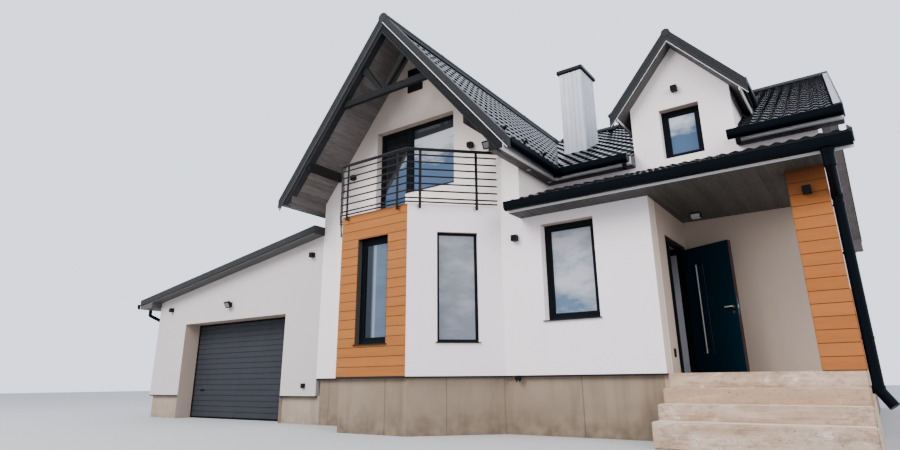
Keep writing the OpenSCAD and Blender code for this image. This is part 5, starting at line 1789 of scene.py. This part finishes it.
@dataclass
class Entrance:
    """Door frame, open leaf, side light and fittings.

    Attributes:
        width: width of the leaf.
        height: height of the leaf.
        thick: thickness of the leaf.
        gap: height of the leaf's foot over the floor.
        angle: how far the leaf stands open, in degrees.
        bar: distance of the pull bar from the hinge.
        bar_ends: heights of its ends.
        bar_posts: heights of its posts.
        bar_out: how far it is from the leaf.
        lever: height of the lever.
        lever_in: how far it is from the free edge.
        cylinder: how far it lies under the lever.
        light: front and rear of the side light.
        light_height: height of its glass.
    """

    shop: Workshop
    width: float = 0.88
    height: float = 1.972
    thick: float = 0.07
    gap: float = 0.012
    angle: float = 62.0
    bar: float = 0.27
    bar_ends: tuple[float, float] = (0.3, 1.69)
    bar_posts: tuple[float, float] = (0.35, 1.64)
    bar_out: float = 0.036
    lever: float = 0.965
    lever_in: float = 0.06
    cylinder: float = 0.085
    light: tuple[float, float] = (0.76, 0.913)
    light_height: float = 1.93

    def on_leaf(self) -> Matrix:
        """Place of the leaf: local Y from the free edge to the hinge, Z up."""
        hinge = Matrix.Translation((3.604, 1.862, PLAN.plinth))
        return hinge @ Matrix.Rotation(math.radians(self.angle), 4, "Z") @ Matrix.Translation((-0.009, -0.003, 0))

    def build(self) -> None:
        """Dresses the leaf and its frame and adds all that is on and beside them."""
        self.shop.dress("door_frame", "frame_grey")
        self.shop.dress("door_leaf", "door_navy")
        self.leaf_trims()
        self.leaf_fittings()
        self.side_light()
        self.inner_wall()

    def leaf_trims(self) -> None:
        """Edge band, inlaid steel line, latch and lock plate of the leaf."""
        shop, leaf = self.shop, self.on_leaf()
        t, w, z0, z1 = self.thick, self.width, self.gap, self.gap + self.height
        edge = Shape().box((-t + 0.012, -w - 0.0015, z0 + 0.001), (-0.012, -w + 0.001, z1 - 0.001), 0.0004, leaf)
        shop.add(edge, "leaf_edge_band", "door_edge", "door_navy", body=LEAF)
        trims = Shape().box((-0.046, -w - 0.0035, 0.94), (-0.026, -w - 0.002, 0.985), 0.0005, leaf)
        trims.box((-t - 0.002, -0.3725, 0.3), (-t + 0.001, -0.3685, 1.7), 0.0005, leaf)
        shop.add(trims, "leaf_steel_trims", "stainless", body=LEAF)
        plate = Shape().box((-0.05, -w - 0.0025, 0.84), (-0.022, -w, 1.09), 0.001, leaf)
        shop.add(plate, "lock_faceplate", "grey_trim", "stainless", body=LEAF)

    def leaf_fittings(self) -> None:
        """Pull bar, levers and cylinder plates on both faces of the leaf."""
        shop, leaf = self.shop, self.on_leaf()
        metal = Shape()

        def rod(a: Vector, b: Vector, radius: float, sides: int, top: float | None = None) -> None:
            """Adds a round bar given on the leaf."""
            metal.rod(leaf @ a, leaf @ b, radius, sides, top)

        t, w = self.thick, self.width
        x = -t - self.bar_out
        for z in self.bar_posts:
            rod(Vector((-t, -self.bar, z)), Vector((x, -self.bar, z)), 0.008, 14)
        low, high = self.bar_ends
        rod(Vector((x, -self.bar, low)), Vector((x, -self.bar, high)), 0.014, 20)
        below = Vector((0, 0, -self.cylinder))
        for side, face in ((-1, -t), (1, 0.0)):
            hub = Vector((face, -w + self.lever_in, self.lever))
            rod(hub, hub + Vector((side * 0.008, 0, 0)), 0.026, 24)
            rod(hub + below, hub + Vector((side * 0.007, 0, -self.cylinder)), 0.024, 24)
            rod(hub, hub + Vector((side * 0.042, 0, 0)), 0.0095, 16)
            rod(hub + Vector((side * 0.042, -0.008, 0)), hub + Vector((side * 0.038, 0.12, 0.001)), 0.0095, 16, 0.0075)
        shop.add(metal, "door_fittings", "stainless", body=LEAF, replaces=["door_handles"], smooth=40)
        grip = Shape()
        a, b = Vector((-t - 0.045, -w + 0.052, self.lever)), Vector((-t - 0.041, -w + 0.18, self.lever + 0.001))
        grip.rod(leaf @ a, leaf @ b, 0.0085, 16, 0.007)
        shop.add(grip, "lever_grip", "pale_brass", "stainless", body=LEAF, smooth=40)

    def side_light(self) -> None:
        """Frosted glass and beads of the fixed light beside the door."""
        p, (y0, y1), z0 = PLAN, self.light, PLAN.plinth + 0.06
        glass = Shape().box((p.porch_left - 0.076, y0 + 0.001, z0),
                            (p.porch_left - 0.052, y1 - 0.001, z0 + self.light_height), 0.0005)
        self.shop.add(glass, "side_light_glass", "frosted_glass", "frame_grey")
        inner = Matrix.Translation((p.porch_left - 0.02, y0, z0)) @ Matrix.Rotation(math.pi / 2, 4, "Z")
        bead = Shape().ring(inner, y1 - y0, self.light_height, 0.014, 0.0, 0.03, 0.002)
        self.shop.add(bead, "side_light_beads", "frame_grey")

    def inner_wall(self) -> None:
        """The strip of wall behind the open door, and the dark beside it."""
        foot, head, top = PLAN.plinth + 0.002, 2.8, 3.34
        left, split, right, front, rear = 3.0, 3.435, 3.52, 1.922, 1.9255
        pale = Shape().box((left, front, foot), (split, rear, head), 0.0004)
        self.shop.add(pale, "inner_wall_lining", "inner_wall", "porch_render")
        dark = Shape().box((left, front, head + 0.001), (split + 0.001, rear, top), 0.0004)
        dark.box((split + 0.001, front, foot), (right, rear, top), 0.0004)
        self.shop.add(dark, "inner_wall_shade", "lamp_black", "porch_render")


# Fittings


@dataclass
class Railing:
    """Balcony railing of round rails on flat posts.

    Attributes:
        out: how far it stands before the bay.
        height: height over the deck.
        rails: number of evenly spaced rails.
        rail: radius of a rail.
        handrail: radius of the handrail.
        bend: radius of the bends.
        lowest: height of the lowest evenly spaced rail.
        foot: height of the rail under it.
    """

    shop: Workshop
    out: float = 0.05
    height: float = 0.975
    rails: int = 7
    rail: float = 0.0135
    handrail: float = 0.028
    bend: float = 0.05
    lowest: float = 0.086
    foot: float = 0.019

    def build(self) -> None:
        """Builds the railing in place of its plain solid."""
        p, shop, o = PLAN, self.shop, self.out
        f = o * math.tan(math.radians(22.5))
        slant = p.bay_out * math.sqrt(2)
        far = (slant - o + f - 0.01) * math.sqrt(0.5)
        path = [(-p.bay_front - f - far, -p.bay_out - o + far), (-p.bay_front - f, -p.bay_out - o),
                (f, -p.bay_out - o), (f + far, -p.bay_out - o + far)]
        top = p.floor + self.height - 0.021
        pitch = (self.height - 0.206) / (self.rails - 1)
        whole = Shape()
        for z, radius, count in ((top + 0.006, self.handrail, 1), (p.floor + self.lowest, self.rail, self.rails),
                                 (p.floor + self.foot, self.rail, 1)):
            points = [(x, y, z) for x, y in path]
            whole.take(shop.patterns.rails(points, radius, self.bend, count, pitch, "railing_metal").bm)
        runs = [(path[1], 0.0, (0.16, p.bay_front - 0.165), 1), (path[2], 45.0, (0.223, slant * 0.75), 1),
                (path[1], 135.0, (0.223, slant * 0.75), -1)]
        for (x, y), angle, posts, side in runs:
            place = upright(x, y, 0.0, angle)
            for s in posts:
                whole.box((s - 0.0225, -0.006, p.floor - 0.09), (s + 0.0225, 0.006, top - 0.01), 0.002, place)
                for z in (p.floor - 0.03, p.floor - 0.07):
                    for start, end, radius, sides in ((-0.006, -0.012, 0.009, 6), (0.0, 0.05, 0.011, 14)):
                        whole.rod(place @ Vector((s, start * side, z)), place @ Vector((s, end * side, z)), radius,
                                  sides)
        shop.add(whole, "balcony_rails", "railing_metal", replaces=["balcony_railing"], smooth=40)


@dataclass
class RainGoods:
    """Gutters and downpipes with their brackets and collars.

    Attributes:
        spacing: distance from bracket to bracket.
        radius: radius of a gutter.
        rim: height of a gutter's rim over its eave's underside.
        depth: how far a gutter's centre lies under its rim.
        collars: heights of the clips round the front downpipe.
    """

    shop: Workshop
    spacing: float = 0.6
    radius: float = 0.075
    rim: float = 0.145
    depth: float = 0.06
    collars: tuple[float, ...] = (1.2, 2.2, 2.8)

    def bracket(self, at: Vector, out: Vector) -> Shape:
        """A thin strap that runs half round a gutter.

        Args:
            at: a point on the gutter's centre line, at its rim.
            out: horizontal vector away from the wall.
        Returns:
            The strap.
        """
        strap, last, r = Shape(), None, self.radius + 0.001
        for k in range(11):
            t = math.pi * k / 10
            point = at + out * (math.cos(t) * r) + Vector((0, 0, -self.depth - math.sin(t) * r))
            if last:
                strap.rod(last, point, 0.004, 6)
            last = point
        return strap

    def build(self) -> None:
        """Dresses gutters and pipes and adds brackets, beads, ends and clips."""
        p, shop, r = PLAN, self.shop, self.radius
        shop.dress("gutters", "gutter_metal")
        shop.dress("downpipes", "gutter_metal")
        extra = Shape()
        porch, eave = p.porch_soffit + self.rim, p.eave + self.rim
        y, inner = p.front_eave - 0.018 - r, p.front_eave - 0.1
        east, north = Vector((1, 0, 0)), Vector((0, 1, 0))
        runs = [((p.wing_right, -0.41 - r, porch), (p.verge_x, -0.41 - r, porch), -north),
                ((p.wing_right + 0.34, y, eave), (3.11, y, eave), -north),
                ((4.662, y, eave), (p.verge_x, y, eave), -north),
                ((1.833, -p.gable_over, eave), (1.833, inner, eave), east),
                ((-3.533, -p.gable_over, eave), (-3.533, p.verge_y, eave), -east)]
        for a, b, out in runs:
            start, end = Vector(a), Vector(b)
            way, along = end - start, (end - start).normalized()
            count = max(2, round(way.length / self.spacing))
            step = (way - along * 0.2) / (count - 1)
            extra.take(shop.patterns.row(self.bracket(start + along * 0.1, out), count, step, "gutter_metal").bm)
            extra.rod(start + out * (r - 0.002), end + out * (r - 0.002), 0.007, 10)
            centre = Vector((0, 0, -self.depth))
            for at, turn in ((start, -1), (end, 1)):
                extra.rod(at - along * 0.008 * turn + centre, at + centre, r + 0.002, 28)
        px, py = p.right + 0.07, 0.084
        for z in self.collars:
            extra.rod((px, py, z), (px, py, z + 0.03), 0.064, 24)
            extra.box((px - 0.075, py - 0.012, z + 0.004), (px - 0.02, py + 0.012, z + 0.026), 0.003)
        shop.add(extra, "gutter_brackets", "gutter_metal", smooth=40)


@dataclass
class Fittings:
    """Lamps, floodlights, vent grille, ceiling light and socket."""

    shop: Workshop

    def build(self) -> None:
        """Dresses the fittings and adds their lenses and fins."""
        shop, p = self.shop, PLAN
        shop.dress("wall_fittings", "lamp_black")
        shop.dress("gable_vent", "lamp_black")
        fins = shop.patterns.row(Shape().box((-0.94, -0.031, 6.425), (-0.59, -0.02, 6.44), 0.003), 16, (0, 0, 0.0315),
                                 "lamp_black")
        shop.add(fins, "vent_fins", "lamp_black")
        glass = Shape()
        for x, z in ((0.96, 4.8), (-6.238, 2.562)):
            place = Matrix.Translation((x, -0.08, z)) @ Matrix.Rotation(math.radians(30), 4, "X")
            glass.box((-0.066, -0.052, -0.061), (0.066, -0.049, 0.041), 0.001, place)
        z = p.porch_soffit
        white = Shape().box((3.875, 1.338, z - 0.092), (4.015, 1.455, z - 0.03), 0.004)
        for y in (0.2, 1.0):
            white.rod((1.6, y, p.eave - 0.012), (1.6, y, p.eave - 0.001), 0.032, 24, 0.045)
        shop.add(white, "white_lamps", "lamp_white", "lamp_black", smooth=30)
        shop.add(glass, "lamp_lenses", "lamp_glass", "lamp_black", smooth=30)


# Studio


@dataclass(frozen=True)
class Studio:
    """Floor, lights and the camera of the photograph.

    Attributes:
        eye: place of the camera in the plan.
        yaw: its turn in radians, as pitch and roll are.
        focal: focal length in pixels.
        centre: middle of the projection, in pixels.
        size: width and height of the picture.
    """

    eye: tuple[float, float, float] = (5.928, -8.275, 0.774)
    yaw: float = 0.613
    pitch: float = 0.302
    roll: float = -0.009
    focal: float = 582.087
    centre: tuple[float, float] = (451.456, 200.498)
    size: tuple[float, float] = (900.0, 450.0)

    def build(self) -> None:
        """Makes the floor, the world, the lamps and the camera."""
        self.floor()
        self.world()
        self.lamp("soft_key", (-6, -22, 17), (0, -2, 3), 14.0, 7600.0)
        self.lamp("soft_fill", (20, -14, 9), (2, -2, 3), 12.0, 2600.0)
        self.camera()

    def floor(self) -> None:
        """Makes the plain pale floor just under the house."""
        s = Shader("studio_floor")
        pale = s.mix(s.noise(0.4, 2.0) * 0.15, (0.38, 0.38, 0.375), (0.34, 0.34, 0.335))
        bm = bmesh.new()
        bmesh.ops.create_grid(bm, x_segments=1, y_segments=1, size=70.0)
        mesh = bpy.data.meshes.new("floor")
        bm.to_mesh(mesh)
        bm.free()
        floor = bpy.data.objects.new("floor", mesh)
        floor.location.z = -0.001
        floor.data.materials.append(s.surface(Base_Color=pale, Roughness=0.9))
        show(floor)

    def world(self) -> None:
        """Makes soft light that grows from floor to top and from front to rear."""
        world = bpy.data.worlds.new("studio")
        world.use_nodes = True
        bpy.context.scene.world = world
        g = Graph(world.node_tree)
        world.node_tree.nodes.clear()
        split = g.node("ShaderNodeSeparateXYZ", inputs={0: g.node("ShaderNodeTexCoord").outputs["Generated"]})
        rise = (g.term(split, 1) * 0.8 + g.term(split, 2)).band(-0.5, 0.25)
        tone = g.node("ShaderNodeMix", {"data_type": "RGBA"},
                      {0: rise, 6: (0.42, 0.43, 0.46, 1.0), 7: (0.92, 0.985, 1.15, 1.0)})
        back = g.node("ShaderNodeBackground", inputs={"Color": tone.outputs[2], "Strength": 1.78})
        g.node("ShaderNodeOutputWorld", inputs={"Surface": back.outputs[0]})

    def lamp(self, name: str, place: Point, aim: Point, size: float, power: float) -> None:
        """Makes a round soft lamp that no surface mirrors.

        Args:
            name: name of the lamp.
            place: where it hangs.
            aim: where it points.
            size: its diameter.
            power: its power in watts.
        """
        data = bpy.data.lights.new(name, "AREA")
        data.shape, data.size, data.energy = "DISK", size, power
        lamp = bpy.data.objects.new(name, data)
        lamp.location = place
        lamp.visible_glossy = False
        lamp.rotation_euler = (Vector(aim) - Vector(place)).to_track_quat("-Z", "Y").to_euler()
        show(lamp)

    def camera(self) -> None:
        """Makes the camera from the photograph's own projection."""
        cy, sy, cp, sp = math.cos(self.yaw), math.sin(self.yaw), math.cos(self.pitch), math.sin(self.pitch)
        ahead = Vector((-sy * cp, cy * cp, sp))
        right = Vector((cy, sy, 0.0))
        up = right.cross(ahead)
        c, s = math.cos(self.roll), math.sin(self.roll)
        right, up = right * c + up * s, up * c - right * s
        data = bpy.data.cameras.new("camera")
        (wide, high), film = self.size, 36.0
        data.sensor_fit, data.sensor_width = "HORIZONTAL", film
        data.lens = self.focal * film / wide
        data.shift_x = (wide / 2 - self.centre[0]) / wide
        data.shift_y = (self.centre[1] - high / 2) / wide
        data.clip_start, data.clip_end = 0.1, 300.0
        camera = bpy.data.objects.new("camera", data)
        camera.matrix_world = SHIFT @ Matrix.Translation(self.eye) @ Matrix((right, up, -ahead)).transposed().to_4x4()
        show(camera)
        bpy.context.scene.camera = camera


def main() -> None:
    """Builds every sub-assembly in order."""
    logging.basicConfig(level=logging.INFO, format="%(name)s: %(message)s", force=True)
    finishes = Finishes()
    shop = Workshop(finishes, Patterns(finishes))
    Studio().build()
    for part in (Walls(shop), Cladding(shop), Steps(shop), TiledRoof(shop), RoofTrim(shop), Soffits(shop),
                 Windows(shop), GarageDoor(shop), Entrance(shop), Railing(shop), RainGoods(shop), Fittings(shop)):
        part.build()
        LOG.info("%s done", type(part).__name__)
    LOG.info("%d pieces", len(shop.pieces))


if __name__ == "__main__":
    main()
